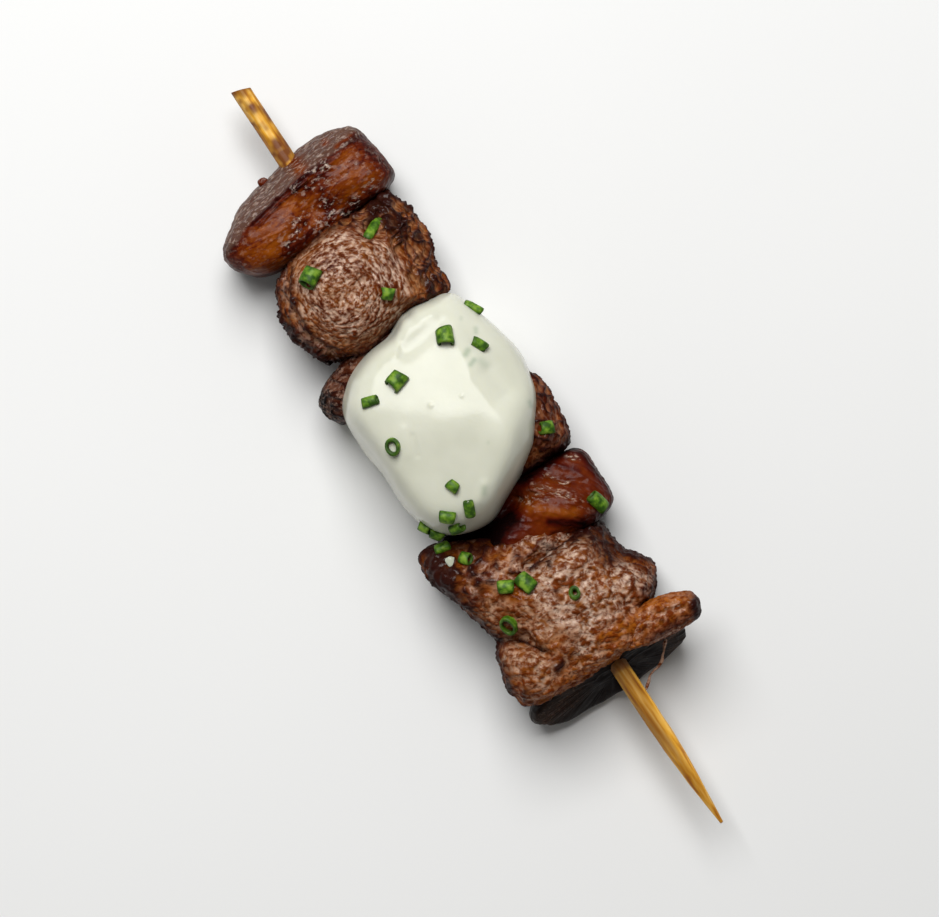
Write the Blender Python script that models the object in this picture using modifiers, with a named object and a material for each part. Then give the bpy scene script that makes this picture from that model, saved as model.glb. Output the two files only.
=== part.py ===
"""Fillet and date skewer.

A bamboo stick lies along X. Seared beef fillet pieces and softened dates alternate along it,
and one spoonful of thick pale sauce is slumped over the two middle pieces. Snips of chive lie
on the sauce and on the meat.

Every piece of food is a lump round its own centre on the stick. Its distance from that centre
is worked out for each direction from its outline seen from above, its height, and the flat
sides that a knife or a neighbour gave it. Lengths in the tables are millimetres, measured
from the middle of the stick's axis: X towards the point, Y to the left of it, Z up.
"""

import math

import bmesh
import bpy
import numpy as np
from mathutils import Matrix, Vector

MM = 0.001

# Driving dimensions, in millimetres
STICK_LENGTH = 135.2
STICK_DIAMETER = 3.1
STICK_TAPER = 19.0
STICK_TAPER_SHAPE = ((0.62, 0.62), (0.29, 0.93), (0.0, 1.0))
STICK_TIP_DIAMETER = 0.7
STICK_SLANT_DEG = 18.0
STICK_HEIGHT = 9.0
STICK_SIDE = 0.9
FIT_GAP = 0.32
SMALLEST_EDGE = 0.02
SIDES_OF_STICK = 12
SIDES_OF_CHIVE = 8
STANDING_LIFT = 0.15
LYING_LIFT = 0.18

# Colours of the materials, linear
BAMBOO = (0.50, 0.27, 0.07, 1.0)
SEARED_BEEF = (0.16, 0.065, 0.035, 1.0)
SOFT_DATE = (0.13, 0.030, 0.010, 1.0)
PALE_SAUCE = (0.78, 0.77, 0.65, 1.0)

# The power that joins a lump to its flat cuts
CUT_EDGE = 12.0

LATTICE = np.array([(x, y, z) for x in (0, 1) for y in (0, 1) for z in (0, 1)])


def lattice_value(cells, seed):
    """A steady scattered value from -1 to 1 for each whole-numbered cell corner."""
    key = cells @ np.array([73856093, 19349663, 83492791]) + seed * 2654435761
    for _ in range(2):
        key = key & 0xFFFFFFFF
        key = (key ^ (key >> 16)) * 0x45D9F3B
    return ((key >> 8) & 0xFFFF) / 32767.5 - 1.0


def lumps(points, size, seed):
    """Smooth noise from -1 to 1: the eight corner values of each cell, eased into each other."""
    cells = np.floor(points / size).astype(np.int64)
    part = points / size - cells
    eased = part**3 * (part * (part * 6 - 15) + 10)
    total = np.zeros(len(points))
    for corner in LATTICE:
        share = np.prod(np.where(corner == 1, eased, 1 - eased), axis=1)
        total += share * lattice_value(cells + corner, seed)
    return total


def outline_radius(angles, outline, centre):
    """Distance from the centre to the outline in each direction.

    The outline is the Catmull-Rom curve through its points: a closed smooth curve whose slope
    at each point is that of the line between its two neighbours.
    """
    here = np.array(outline, float) - centre
    before, after, beyond = (np.roll(here, turn, axis=0) for turn in (1, -1, -2))
    t = np.linspace(0, 1, 12, endpoint=False)[:, None, None]
    curve = (
        here
        + (after - before) / 2 * t
        + (before - 2.5 * here + 2 * after - 0.5 * beyond) * t**2
        + (1.5 * here - 0.5 * before - 1.5 * after + 0.5 * beyond) * t**3
    ).reshape(-1, 2)
    bearings = np.arctan2(curve[:, 1], curve[:, 0])
    order = np.argsort(bearings)
    reach = np.hypot(curve[:, 0], curve[:, 1])
    return np.interp(angles, bearings[order], reach[order], period=2 * math.pi)


def distance_to_line(points, start, end):
    """Distance seen from above between each point and the straight line from start to end."""
    start, end = np.array(start, float), np.array(end, float)
    along = end - start
    length = max(along @ along, 1e-9)
    share = np.clip((points[:, :2] - start) @ along / length, 0, 1)
    return np.linalg.norm(points[:, :2] - start - share[:, None] * along, axis=1)


def food_points(directions, form):
    """The lump's surface in each direction, in millimetres from the middle of the stick's axis.

    One over the distance is the p-norm of what stops it: the outline, the top, the base and the
    flat cuts. Ridges and folds then raise or lower the top, and noise gives it its crags.
    """
    centre = np.array(form["centre"], float)
    squareness = form["squareness"]
    flat = np.hypot(directions[:, 0], directions[:, 1])
    around = np.arctan2(directions[:, 1], directions[:, 0])
    stops = (flat / outline_radius(around, form["outline"], centre[:2])) ** squareness
    up = np.maximum(directions[:, 2], 0) / (form["top"] - centre[2])
    down = np.maximum(-directions[:, 2], 0) / (centre[2] - form["base"] + form["foot"])
    stops += up**squareness + down**squareness
    stops **= CUT_EDGE / squareness
    for normal, distance in form.get("cuts", ()):
        normal = np.array(normal, float) / np.linalg.norm(normal)
        stops += (np.maximum(directions @ normal, 0) / distance) ** CUT_EDGE
    points = centre + directions * (stops ** (-1 / CUT_EDGE))[:, None]
    height = np.clip((points[:, 2] - centre[2]) / (form["top"] - centre[2]), 0, 1)
    rise = np.zeros(len(points))
    for start, end, width, amount in form.get("folds", ()):
        rise += amount * np.exp(-((distance_to_line(points, start, end) / width) ** 2))
    points[:, 2] += rise * height
    for stretch, size, depth, seed in form.get("relief", ()):
        crag = lumps(points * np.array(stretch), size, seed)
        points += directions * (crag * depth)[:, None]
    points[:, 2] = np.maximum(points[:, 2], form["base"])
    return points


# The forms of the food. A cut is an outward direction and its distance from the centre. A fold
# is a line seen from above, from one point to another, with its width and its rise or dip.
# Relief is a stretch of the noise, the size of its lumps, their height and a seed.
LONG_WRINKLES = (1.0, 0.22, 0.8)
SLANTED = (0.75, 0.75, 0.6)
EVEN = (1.0, 1.0, 1.0)

DATE_1 = {
    "centre": (-48.0, -2.0, -1.6),
    "outline": [(-55.3, 4.5), (-54.5, 8.6), (-52.7, 11.6), (-49.6, 12.4), (-45.6, 12.8), (-42.9, 12.1),
                (-41.8, 6.0), (-41.0, -2.0), (-40.6, -9.0), (-42.4, -14.2), (-46.6, -16.4),
                (-50.4, -12.8), (-52.9, -8.8), (-54.1, -2.0)],
    "top": 7.4, "base": -8.2, "foot": 1.5, "squareness": 3.8,
    "cuts": [((0.10, 0.0, 0.995), 8.5), ((-0.88, -0.12, 0.45), 5.9)],
    "folds": [((-45.4, -1.0), (-42.6, 3.4), 2.0, -1.1), ((-45.0, -6.0), (-44.5, -11.5), 3.2, 0.8),
              ((-46.4, 6.0), (-45.8, 10.0), 2.6, 0.6), ((-50.2, 7.0), (-49.6, -1.0), 0.9, 0.35)],
    "relief": [(LONG_WRINKLES, 3.2, 0.22, 11), (EVEN, 4.5, 0.25, 12)],
}
FILLET_1 = {
    "centre": (-32.3, -1.0, 0.0),
    "outline": [(-24.4, 2.0), (-23.8, 6.5), (-24.0, 10.0), (-28.0, 10.4), (-32.0, 11.8), (-36.0, 11.5),
                (-40.4, 10.7), (-41.6, 7.2), (-41.4, -3.0), (-40.6, -9.0), (-38.6, -12.2), (-34.0, -13.8),
                (-29.0, -13.2), (-25.0, -11.2), (-23.0, -5.5)],
    "top": 9.8, "base": -9.0, "foot": 1.5, "squareness": 3.2,
    "cuts": [((0.0, 0.62, 0.78), 10.6)],
    "folds": [((-33.0, -2.5), (-31.0, -2.5), 7.0, 1.2), ((-40.0, 7.0), (-38.2, 5.0), 1.8, -2.6),
              ((-37.4, 4.6), (-33.0, 6.6), 1.2, -0.9), ((-33.0, 6.6), (-27.4, 5.4), 1.2, -0.9)],
    "relief": [(EVEN, 5.2, 0.5, 21), (EVEN, 2.6, 0.3, 22)],
}
DATE_2 = {
    "centre": (-19.6, -2.0, -1.0),
    "outline": [(-15.4, 3.0), (-16.4, 10.0), (-20.2, 12.0), (-23.4, 9.0), (-24.3, 2.0), (-24.2, -6.0),
                (-22.8, -12.8), (-20.4, -16.2), (-17.2, -16.0), (-15.2, -13.6), (-15.0, -5.0)],
    "top": 6.2, "base": -8.0, "foot": 1.5, "squareness": 2.8,
    "relief": [(LONG_WRINKLES, 2.2, 0.4, 31)],
}
FILLET_2 = {
    "centre": (-4.4, 1.0, -0.4),
    "outline": [(5.8, 2.0), (6.0, 9.0), (5.6, 12.8), (1.0, 13.6), (-4.8, 13.8), (-9.0, 10.6), (-11.8, 6.0),
                (-12.6, 0.0), (-11.4, -7.0), (-6.0, -11.0), (2.0, -11.0), (5.2, -6.0)],
    "top": 9.0, "base": -8.6, "foot": 1.5, "squareness": 3.4,
    "folds": [((0.0, 12.0), (4.0, 9.5), 2.2, 0.8)],
    "relief": [(EVEN, 4.8, 0.5, 41), (EVEN, 2.6, 0.3, 42)],
}
DATE_3 = {
    "centre": (11.6, 0.4, -0.6),
    "outline": [(18.3, 6.0), (18.4, 10.2), (16.5, 13.8), (11.0, 13.7), (7.2, 12.8), (6.2, 7.0), (6.2, -4.0),
                (7.4, -12.4), (10.6, -15.4), (14.4, -13.0), (16.8, -4.0)],
    "top": 7.8, "base": -8.0, "foot": 1.5, "squareness": 3.0,
    "cuts": [((-0.35, 0.15, 0.92), 7.6)],
    "folds": [((8.6, 4.0), (13.4, 8.4), 1.1, 0.9), ((10.2, 1.0), (16.0, 8.0), 1.6, 0.7),
              ((8.0, 7.4), (12.0, 10.6), 0.9, -0.6), ((8.4, 0.5), (11.2, -9.0), 1.6, -3.0),
              ((9.4, -9.0), (12.0, -15.0), 3.6, -4.5)],
    "relief": [(SLANTED, 3.4, 0.35, 51), (EVEN, 5.5, 0.25, 52)],
}
FILLET_3 = {
    "centre": (25.0, -2.4, 0.4),
    "outline": [(37.2, 0.0), (37.2, 5.0), (36.0, 8.2), (33.0, 8.4), (32.2, 10.2), (30.4, 12.2),
                (28.5, 13.2), (26.6, 11.8), (24.4, 10.0), (21.6, 9.8), (18.9, 9.7), (16.9, 5.0),
                (14.0, 1.0), (11.9, -5.0), (9.2, -11.0), (8.0, -15.0), (10.4, -16.8), (15.0, -15.9),
                (20.5, -14.5), (25.2, -13.2), (28.0, -15.0), (32.6, -15.8), (36.2, -14.6), (37.2, -8.0)],
    "top": 10.4, "base": -9.0, "foot": 1.5, "squareness": 3.6,
    "cuts": [((-0.58, 0.08, 0.81), 13.7), ((0.0, 0.72, 0.69), 14.8), ((-0.30, 0.80, 0.52), 12.6)],
    "folds": [((17.9, 5.0), (18.6, -3.0), 1.1, -2.2), ((13.8, -1.5), (16.6, 4.6), 1.4, 1.0),
              ((24.0, 7.4), (32.4, 6.6), 1.4, -1.3), ((25.4, -12.6), (27.0, -10.3), 1.2, -2.6),
              ((27.0, -10.3), (30.2, -8.2), 0.9, -1.6), ((30.4, -12.0), (33.0, -12.0), 2.6, 0.9),
              ((24.0, -4.5), (26.0, 1.0), 4.5, 0.7), ((36.1, -11.0), (36.1, 3.0), 1.1, 1.0)],
    "relief": [(EVEN, 5.0, 0.5, 61), (EVEN, 2.7, 0.35, 62)],
}
FLAP_3 = {
    "centre": (35.7, 8.2, 6.0),
    "outline": [(38.8, 9.2), (38.9, 12.2), (38.2, 14.3), (36.7, 15.5), (35.2, 15.2), (33.7, 13.2),
                (32.8, 10.6), (32.6, 8.0), (32.9, 5.0), (34.0, 2.0), (36.4, 1.0), (37.8, 4.6)],
    "top": 10.2, "base": 2.8, "foot": 0.4, "squareness": 3.2,
    "cuts": [((0.50, 0.0, 0.87), 3.6), ((-0.10, -0.32, 0.94), 3.5)],
    "folds": [((37.8, 13.6), (36.4, 14.4), 0.9, 0.5), ((35.6, 12.6), (35.0, 9.0), 0.9, -0.5)],
    "relief": [(EVEN, 2.6, 0.25, 71)],
}
DATE_4 = {
    "centre": (38.6, -2.6, -3.0),
    "outline": [(42.8, 1.0), (42.4, 7.0), (40.8, 11.2), (37.6, 11.0), (35.2, 7.0), (34.4, -2.0),
                (34.8, -10.0), (36.8, -14.8), (39.6, -15.4), (41.8, -12.0), (42.8, -5.0)],
    "top": 2.6, "base": -8.5, "foot": 1.5, "squareness": 3.0,
    "cuts": [((0.85, 0.0, 0.52), 1.62)],
    "relief": [(LONG_WRINKLES, 2.4, 0.35, 81)],
}
DOLLOP = {
    "centre": (-7.6, -0.4, 2.6),
    "outline": [(9.8, -4.6), (8.2, 0.0), (5.2, 5.6), (1.4, 9.6), (-4.6, 13.2), (-11.0, 13.7), (-17.8, 12.5),
                (-22.8, 10.4), (-24.6, 6.0), (-25.0, 2.0), (-23.4, -1.6), (-22.5, -6.4), (-20.2, -11.4),
                (-15.8, -14.6), (-6.0, -14.6), (4.0, -13.9), (8.2, -10.4)],
    "top": 19.0, "base": -9.0, "foot": 6.0, "squareness": 2.7,
    "cuts": [((-0.22, 0.06, 0.974), 13.6), ((0.02, -0.17, 0.985), 14.6), ((-0.16, 0.66, 0.730), 15.1)],
    "folds": [((-21.4, 6.5), (-20.6, -1.0), 1.4, -1.2), ((-23.0, -0.4), (-20.4, -2.5), 0.45, 0.35),
              ((-9.8, 8.2), (-6.0, 8.8), 1.8, -0.9)],
    "relief": [(EVEN, 9.0, 0.30, 91)],
}

# Snips of chive: x, y, length, diameter, turn in degrees, and whether the snip stands on its end.
CHIVES = {
    "fillet_1": [(-38.2, 5.2, 3.6, 1.6, -52, False), (-28.2, 1.6, 1.6, 2.1, 0, True),
                 (-37.2, -6.9, 2.7, 2.6, 32, False)],
    "fillet_2": [(2.0, 10.6, 2.2, 2.0, 65, False)],
    "date_3": [(15.6, 10.8, 3.0, 2.3, 28, False)],
    "fillet_3": [(19.9, -4.9, 2.7, 2.5, 15, False), (18.7, -7.8, 2.2, 2.1, 60, False),
                 (24.0, -10.6, 1.5, 3.2, 0, True), (25.3, 0.3, 1.7, 2.1, 0, True),
                 (13.0, -10.9, 1.8, 1.9, 40, False)],
    "dollop": [(-19.6, 11.4, 2.8, 1.6, 27, False), (-14.0, 8.8, 2.3, 1.7, 32, False),
               (-18.1, 5.3, 2.6, 2.6, -22, False), (-16.2, -4.5, 2.7, 2.7, -70, False),
               (-15.8, -9.5, 2.5, 1.6, 72, False), (-8.3, -10.3, 1.3, 2.8, 0, True),
               (1.6, -6.0, 1.7, 1.7, 20, False), (5.6, -5.8, 2.5, 1.7, -25, False),
               (4.9, -9.2, 2.2, 2.1, 50, False), (7.0, -9.0, 2.1, 1.9, -60, False),
               (6.2, -12.0, 2.2, 2.0, 10, False)],
}


def clear_scene():
    for obj in list(bpy.data.objects):
        bpy.data.objects.remove(obj, do_unlink=True)


def new_collection(name):
    collection = bpy.data.collections.new(name)
    bpy.context.scene.collection.children.link(collection)
    return collection


def principled(name, colour, roughness):
    """A plain material: none of the food or the wood is metallic."""
    material = bpy.data.materials.new(name)
    material.use_nodes = True
    shader = material.node_tree.nodes["Principled BSDF"]
    shader.inputs["Base Color"].default_value = colour
    shader.inputs["Roughness"].default_value = roughness
    shader.inputs["Metallic"].default_value = 0.0
    material.diffuse_color = colour
    return material


def add_object(name, mesh, collection, parent, material=None):
    obj = bpy.data.objects.new(name, mesh)
    collection.objects.link(obj)
    obj.parent = parent
    if material:
        mesh.materials.append(material)
    return obj


def as_helper(obj):
    """A cutter: shown as a wire and left out of the render and the build."""
    obj.hide_render = True
    obj.display_type = "WIRE"
    return obj


def skewer_axis():
    """The empty that every piece hangs on, with its X along the stick."""
    axis = bpy.data.objects.new("skewer_axis", None)
    axis.location = (0.0, STICK_SIDE * MM, STICK_HEIGHT * MM)
    bpy.context.scene.collection.objects.link(axis)
    return axis


def make_stick(collection, cutters, axis, material):
    """A turned bamboo stick: round, with a long taper to its point and a slanted blunt end.

    The taper's shape is a list of shares: how far along the taper, and how much of the radius.
    """
    radius = STICK_DIAMETER / 2 * MM
    tip = STICK_TIP_DIAMETER / 2 * MM
    half = STICK_LENGTH / 2 * MM
    shoulder = half - STICK_TAPER * MM
    taper = [(radius * width, shoulder + STICK_TAPER * share * MM) for share, width in STICK_TAPER_SHAPE]
    profile = [(0.0, half), (tip, half - tip), *taper, (radius, -half), (0.0, -half)]
    mesh = bpy.data.meshes.new("stick")
    edges = [(i, i + 1) for i in range(len(profile) - 1)]
    mesh.from_pydata([(r, 0.0, z) for r, z in profile], edges, [])
    stick = add_object("stick", mesh, collection, axis, material)
    stick.rotation_euler = (0.0, math.pi / 2, 0.0)
    screw = stick.modifiers.new("turn", "SCREW")
    screw.steps = screw.render_steps = SIDES_OF_STICK
    screw.use_merge_vertices = True
    screw.merge_threshold = 0.00005
    block = 4 * STICK_DIAMETER * MM
    slant = as_helper(box("slant_cutter", (block, block, block), cutters, axis))
    angle = math.radians(STICK_SLANT_DEG)
    slant.rotation_euler = (0.0, 0.0, -angle)
    slant.location = (-half + radius * math.tan(angle) - block / 2 / math.cos(angle), 0.0, 0.0)
    cut(stick, "slanted end", slant)
    return stick


def box(name, size, collection, parent):
    mesh = bpy.data.meshes.new(name)
    bm = bmesh.new()
    bmesh.ops.create_cube(bm, size=1.0, matrix=Matrix.Diagonal((*size, 1.0)))
    bm.to_mesh(mesh)
    bm.free()
    return add_object(name, mesh, collection, parent)


def cylinder_mesh(name, radius, length, sides):
    """A cylinder along X, centred on the origin."""
    mesh = bpy.data.meshes.new(name)
    bm = bmesh.new()
    along_x = Matrix.Rotation(math.pi / 2, 4, "Y")
    bmesh.ops.create_cone(
        bm, cap_ends=True, segments=sides, radius1=radius, radius2=radius, depth=length, matrix=along_x
    )
    bm.to_mesh(mesh)
    bm.free()
    return mesh


def lump_mesh(name, form, cuts, swell=0.0):
    """A cube cut into a grid, with each corner sent out along its direction to the lump's surface.

    swell pushes every corner outwards by that many millimetres, which makes the cutter that
    keeps a neighbour clear.
    """
    mesh = bpy.data.meshes.new(name)
    bm = bmesh.new()
    bmesh.ops.create_cube(bm, size=2.0)
    bmesh.ops.subdivide_edges(bm, edges=bm.edges[:], cuts=cuts, use_grid_fill=True)
    bmesh.ops.recalc_face_normals(bm, faces=bm.faces[:])
    bm.to_mesh(mesh)
    bm.free()
    corners = np.empty(len(mesh.vertices) * 3)
    mesh.vertices.foreach_get("co", corners)
    directions = np.tan(corners.reshape(-1, 3) * math.pi / 4)
    directions /= np.linalg.norm(directions, axis=1)[:, None]
    mesh.vertices.foreach_set("co", (food_points(directions, form) * MM).ravel())
    mesh.update()
    if swell:
        normals = np.empty(len(mesh.vertices) * 3)
        mesh.vertices.foreach_get("normal", normals)
        mesh.vertices.foreach_get("co", corners)
        mesh.vertices.foreach_set("co", corners + normals * swell * MM)
        mesh.update()
    mesh.shade_smooth()
    mesh.set_sharp_from_angle(angle=math.radians(50))
    return mesh


def cut(obj, name, cutter):
    modifier = obj.modifiers.new(name, "BOOLEAN")
    modifier.operation = "DIFFERENCE"
    modifier.solver = "EXACT"
    modifier.object = cutter


def apply_modifiers(obj):
    """Makes the evaluated shape the object's own mesh."""
    bpy.context.view_layer.update()
    graph = bpy.context.evaluated_depsgraph_get()
    mesh = bpy.data.meshes.new_from_object(obj.evaluated_get(graph))
    obj.modifiers.clear()
    old = obj.data
    obj.data = mesh
    bpy.data.meshes.remove(old)
    mesh.name = obj.name


def keep_largest_body(obj):
    """Drops the loose scraps that a cut leaves in the pockets between neighbours.

    Faces belong to one body where they alone share an edge, so what only touches is parted.
    """
    bm = bmesh.new()
    bm.from_mesh(obj.data)
    bmesh.ops.triangulate(bm, faces=bm.faces[:])
    bmesh.ops.remove_doubles(bm, verts=bm.verts[:], dist=SMALLEST_EDGE * MM)
    left = set(bm.faces)
    bodies = []
    while left:
        body = set()
        waiting = [left.pop()]
        while waiting:
            face = waiting.pop()
            body.add(face)
            sound_edges = [edge for edge in face.edges if len(edge.link_faces) == 2]
            for other in {near for edge in sound_edges for near in edge.link_faces} & left:
                left.remove(other)
                waiting.append(other)
        bodies.append(body)
    bodies.sort(key=len, reverse=True)
    scraps = [face for body in bodies[1:] for face in body]
    bmesh.ops.delete(bm, geom=scraps, context="FACES")
    bm.to_mesh(obj.data)
    bm.free()


def snip(name, food, place, collection, axis):
    """A short length of chive, partly sunk into the food that it lies on."""
    x, y, length, diameter, turn, stands = place
    graph = bpy.context.evaluated_depsgraph_get()
    above = Vector((x * MM, y * MM, STICK_LENGTH * MM))
    hit, spot, normal, _ = food.ray_cast(above, Vector((0, 0, -1)), depsgraph=graph)
    if not hit:
        raise ValueError(f"{name} misses {food.name}")
    mesh = cylinder_mesh(name, diameter / 2 * MM, length * MM, SIDES_OF_CHIVE)
    obj = add_object(name, mesh, collection, axis)
    if stands:
        obj.matrix_basis = Matrix.Translation(spot) @ normal.to_track_quat("X", "Y").to_matrix().to_4x4()
        lift = length * STANDING_LIFT
    else:
        along = Vector((math.cos(math.radians(turn)), math.sin(math.radians(turn)), 0.0))
        along = (along - normal * along.dot(normal)).normalized()
        across = normal.cross(along)
        turned = Matrix((along, across, normal)).transposed().to_4x4()
        obj.matrix_basis = Matrix.Translation(spot) @ turned
        lift = diameter * LYING_LIFT
    obj.matrix_basis = Matrix.Translation(normal * lift * MM) @ obj.matrix_basis
    return obj


def fuse(food, collection, solver="EXACT"):
    """Joins every object of the collection to the food, then removes them."""
    union = food.modifiers.new("fused on", "BOOLEAN")
    union.operation = "UNION"
    union.operand_type = "COLLECTION"
    union.solver = solver
    union.collection = collection
    apply_modifiers(food)
    for obj in list(collection.objects):
        bpy.data.objects.remove(obj, do_unlink=True)


def make_food(name, form, cuts, material, collection, axis, clear_of=(), joined=()):
    """One piece of food: its lump, cut back from its neighbours and the stick, with what is fused on."""
    food = add_object(name, lump_mesh(name, form, cuts), collection, axis, material)
    if joined:
        extra = new_collection(name + "_joined")
        for part_name, part_form, part_cuts in joined:
            add_object(part_name, lump_mesh(part_name, part_form, part_cuts), extra, axis)
        fuse(food, extra)
        bpy.data.collections.remove(extra)
    cut(food, "bore", bpy.data.objects["bore_cutter"])
    for cutter in clear_of:
        cut(food, "clear of " + cutter.name, cutter)
    apply_modifiers(food)
    keep_largest_body(food)
    if name in CHIVES:
        snips = new_collection(name + "_chives")
        for number, place in enumerate(CHIVES[name]):
            snip(f"{name}_chive_{number}", food, place, snips, axis)
        fuse(food, snips)
        bpy.data.collections.remove(snips)
    return food


def make_cutter(name, form, cuts, cutters, axis):
    """A lump swollen by the gap that touching pieces keep."""
    swollen = lump_mesh(name + "_cutter", form, cuts, FIT_GAP)
    return as_helper(add_object(name + "_cutter", swollen, cutters, axis))


def main():
    clear_scene()
    parts = new_collection("fillet_and_date_skewer")
    cutters = new_collection("cutters")
    axis = skewer_axis()
    bamboo = principled("bamboo", BAMBOO, 0.5)
    beef = principled("seared_beef", SEARED_BEEF, 0.4)
    date = principled("soft_date", SOFT_DATE, 0.3)
    sauce = principled("pale_sauce", PALE_SAUCE, 0.3)

    make_stick(parts, cutters, axis, bamboo)
    bore_radius = STICK_DIAMETER / 2 + FIT_GAP
    bore = cylinder_mesh("bore_cutter", bore_radius * MM, STICK_LENGTH * MM, SIDES_OF_STICK)
    as_helper(add_object("bore_cutter", bore, cutters, axis))

    fillet_1 = make_cutter("fillet_1", FILLET_1, 9, cutters, axis)
    fillet_2 = make_cutter("fillet_2", FILLET_2, 6, cutters, axis)
    fillet_3 = make_cutter("fillet_3", FILLET_3, 11, cutters, axis)
    flap_3 = make_cutter("flap_3", FLAP_3, 4, cutters, axis)
    date_2 = make_cutter("date_2", DATE_2, 6, cutters, axis)
    date_3 = make_cutter("date_3", DATE_3, 8, cutters, axis)

    def food(name, form, cuts, material, clear_of=(), joined=()):
        return make_food(name, form, cuts, material, parts, axis, clear_of, joined)

    food("date_1", DATE_1, 8, date, [fillet_1])
    food("fillet_1", FILLET_1, 9, beef)
    food("date_2", DATE_2, 6, date, [fillet_1, fillet_2])
    food("fillet_2", FILLET_2, 6, beef)
    food("date_3", DATE_3, 8, date, [fillet_2, fillet_3])
    food("fillet_3", FILLET_3, 11, beef, joined=[("flap_3", FLAP_3, 4)])
    food("date_4", DATE_4, 6, date, [fillet_3, flap_3])
    food("dollop", DOLLOP, 10, sauce, [fillet_1, date_2, fillet_2, date_3, fillet_3])


main()
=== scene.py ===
"""The looks of one fillet and date skewer, lying on a pale studio floor and seen from straight above.

Lengths are millimetres from the middle of the stick's axis unless a name says metres: x runs
towards the stick's point, y to the left of it and z up.
"""

import math

import bpy
import numpy as np
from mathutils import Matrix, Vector


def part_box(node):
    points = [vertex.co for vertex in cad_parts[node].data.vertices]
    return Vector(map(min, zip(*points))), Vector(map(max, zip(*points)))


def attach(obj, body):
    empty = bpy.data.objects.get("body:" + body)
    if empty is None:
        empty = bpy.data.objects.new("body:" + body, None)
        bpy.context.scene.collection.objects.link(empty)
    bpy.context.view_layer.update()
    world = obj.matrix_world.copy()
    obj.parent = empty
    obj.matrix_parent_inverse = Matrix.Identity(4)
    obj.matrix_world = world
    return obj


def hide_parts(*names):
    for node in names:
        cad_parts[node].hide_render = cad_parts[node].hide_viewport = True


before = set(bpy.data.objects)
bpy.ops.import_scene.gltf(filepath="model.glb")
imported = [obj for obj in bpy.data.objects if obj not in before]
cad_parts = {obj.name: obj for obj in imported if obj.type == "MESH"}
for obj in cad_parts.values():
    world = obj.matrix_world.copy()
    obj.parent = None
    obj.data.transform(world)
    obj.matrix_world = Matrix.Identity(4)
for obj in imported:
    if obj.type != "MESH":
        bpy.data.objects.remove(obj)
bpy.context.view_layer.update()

# The view: straight down, turned so that the stick runs from the top left to the bottom right.
# The picture is 144 mm wide at the height of the stick.

MM = 0.001
stick_low, stick_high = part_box("stick")
AXIS = np.array([0.0, (stick_low.y + stick_high.y) / 2, (stick_low.z + stick_high.z) / 2])
PICTURE_WIDTH = 144.4
VIEW_CENTRE = (-0.5, -1.7)
VIEW_TURN_DEG = 56.7
VIEW_DISTANCE = 620.0

camera = bpy.data.objects.new("overhead_camera", bpy.data.cameras.new("overhead_camera"))
camera.data.sensor_width = 36.0
camera.data.lens = camera.data.sensor_width * VIEW_DISTANCE / PICTURE_WIDTH
camera.data.clip_start = 0.01
camera.location = AXIS + np.array([*VIEW_CENTRE, VIEW_DISTANCE]) * MM
camera.rotation_euler = (0.0, 0.0, math.radians(VIEW_TURN_DEG))
bpy.context.scene.collection.objects.link(camera)
bpy.context.scene.camera = camera

# The studio: a plain pale floor, one broad softbox past the blunt end, which leaves a wide soft
# highlight on the sauce, and a room with pale walls and a dim ceiling that fills the shadows.

FLOOR_SIZE = 3.0
SOFTBOX_SIZE = 0.46
SOFTBOX_DISTANCE = 0.72
SOFTBOX_FROM_ABOVE_DEG = 30.0
SOFTBOX_BEARING = (-0.95, 0.31)
SOFTBOX_WATTS = 6.9
WALL_STRENGTH = 0.33
CEILING_STRENGTH = 0.08
CEILING_EDGES = (0.35, 0.80)


def added(tree, kind, inputs=None, **settings):
    """Adds a node to a tree and returns its outputs. Its settings are made before its inputs.

    An input given as a socket is linked, and one given as a value is set.
    """
    node = tree.nodes.new("ShaderNode" + kind)
    for name, value in settings.items():
        setattr(node, name, value)
    for name, value in (inputs or {}).items():
        if isinstance(value, bpy.types.NodeSocket):
            tree.links.new(value, node.inputs[name])
        else:
            node.inputs[name].default_value = value
    return node.outputs


def toned(tree, value, colours):
    """A colour socket that runs through the (place, colour) stops as the value goes from 0 to 1."""
    ramp = tree.nodes.new("ShaderNodeValToRGB")
    stops = ramp.color_ramp.elements
    while len(stops) < len(colours):
        stops.new(0.5)
    for stop, (place, colour) in zip(stops, colours):
        stop.position = place
        stop.color = (*colour, 1.0)
    tree.links.new(value, ramp.inputs["Fac"])
    return ramp.outputs["Color"]


def noise_over(tree, scale, detail=3.0):
    """A socket of noise from about 0 to 1, read in Object coordinates."""
    place = added(tree, "TexCoord")["Object"]
    return added(tree, "TexNoise", {"Vector": place, "Scale": scale, "Detail": detail})["Fac"]


def new_material(name, **values):
    """A material and its node tree. Coat_Roughness is set on the shader's Coat Roughness, and so on."""
    material = bpy.data.materials.new(name)
    material.use_nodes = True
    inputs = material.node_tree.nodes["Principled BSDF"].inputs
    for socket, value in values.items():
        inputs[socket.replace("_", " ")].default_value = value
    return material, material.node_tree


def link_shader(tree, **sockets):
    """Links each socket to the shader's input of that name."""
    inputs = tree.nodes["Principled BSDF"].inputs
    for name, socket in sockets.items():
        tree.links.new(socket, inputs[name.replace("_", " ")])


def floor_material():
    """A matt pale surface with a faint drift of tone."""
    material, tree = new_material("pale_floor", Roughness=0.75)
    pale = [(0.0, (0.70, 0.70, 0.69)), (1.0, (0.76, 0.76, 0.75))]
    link_shader(tree, Base_Color=toned(tree, noise_over(tree, 6.0, detail=2.0), pale))
    return material


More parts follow.
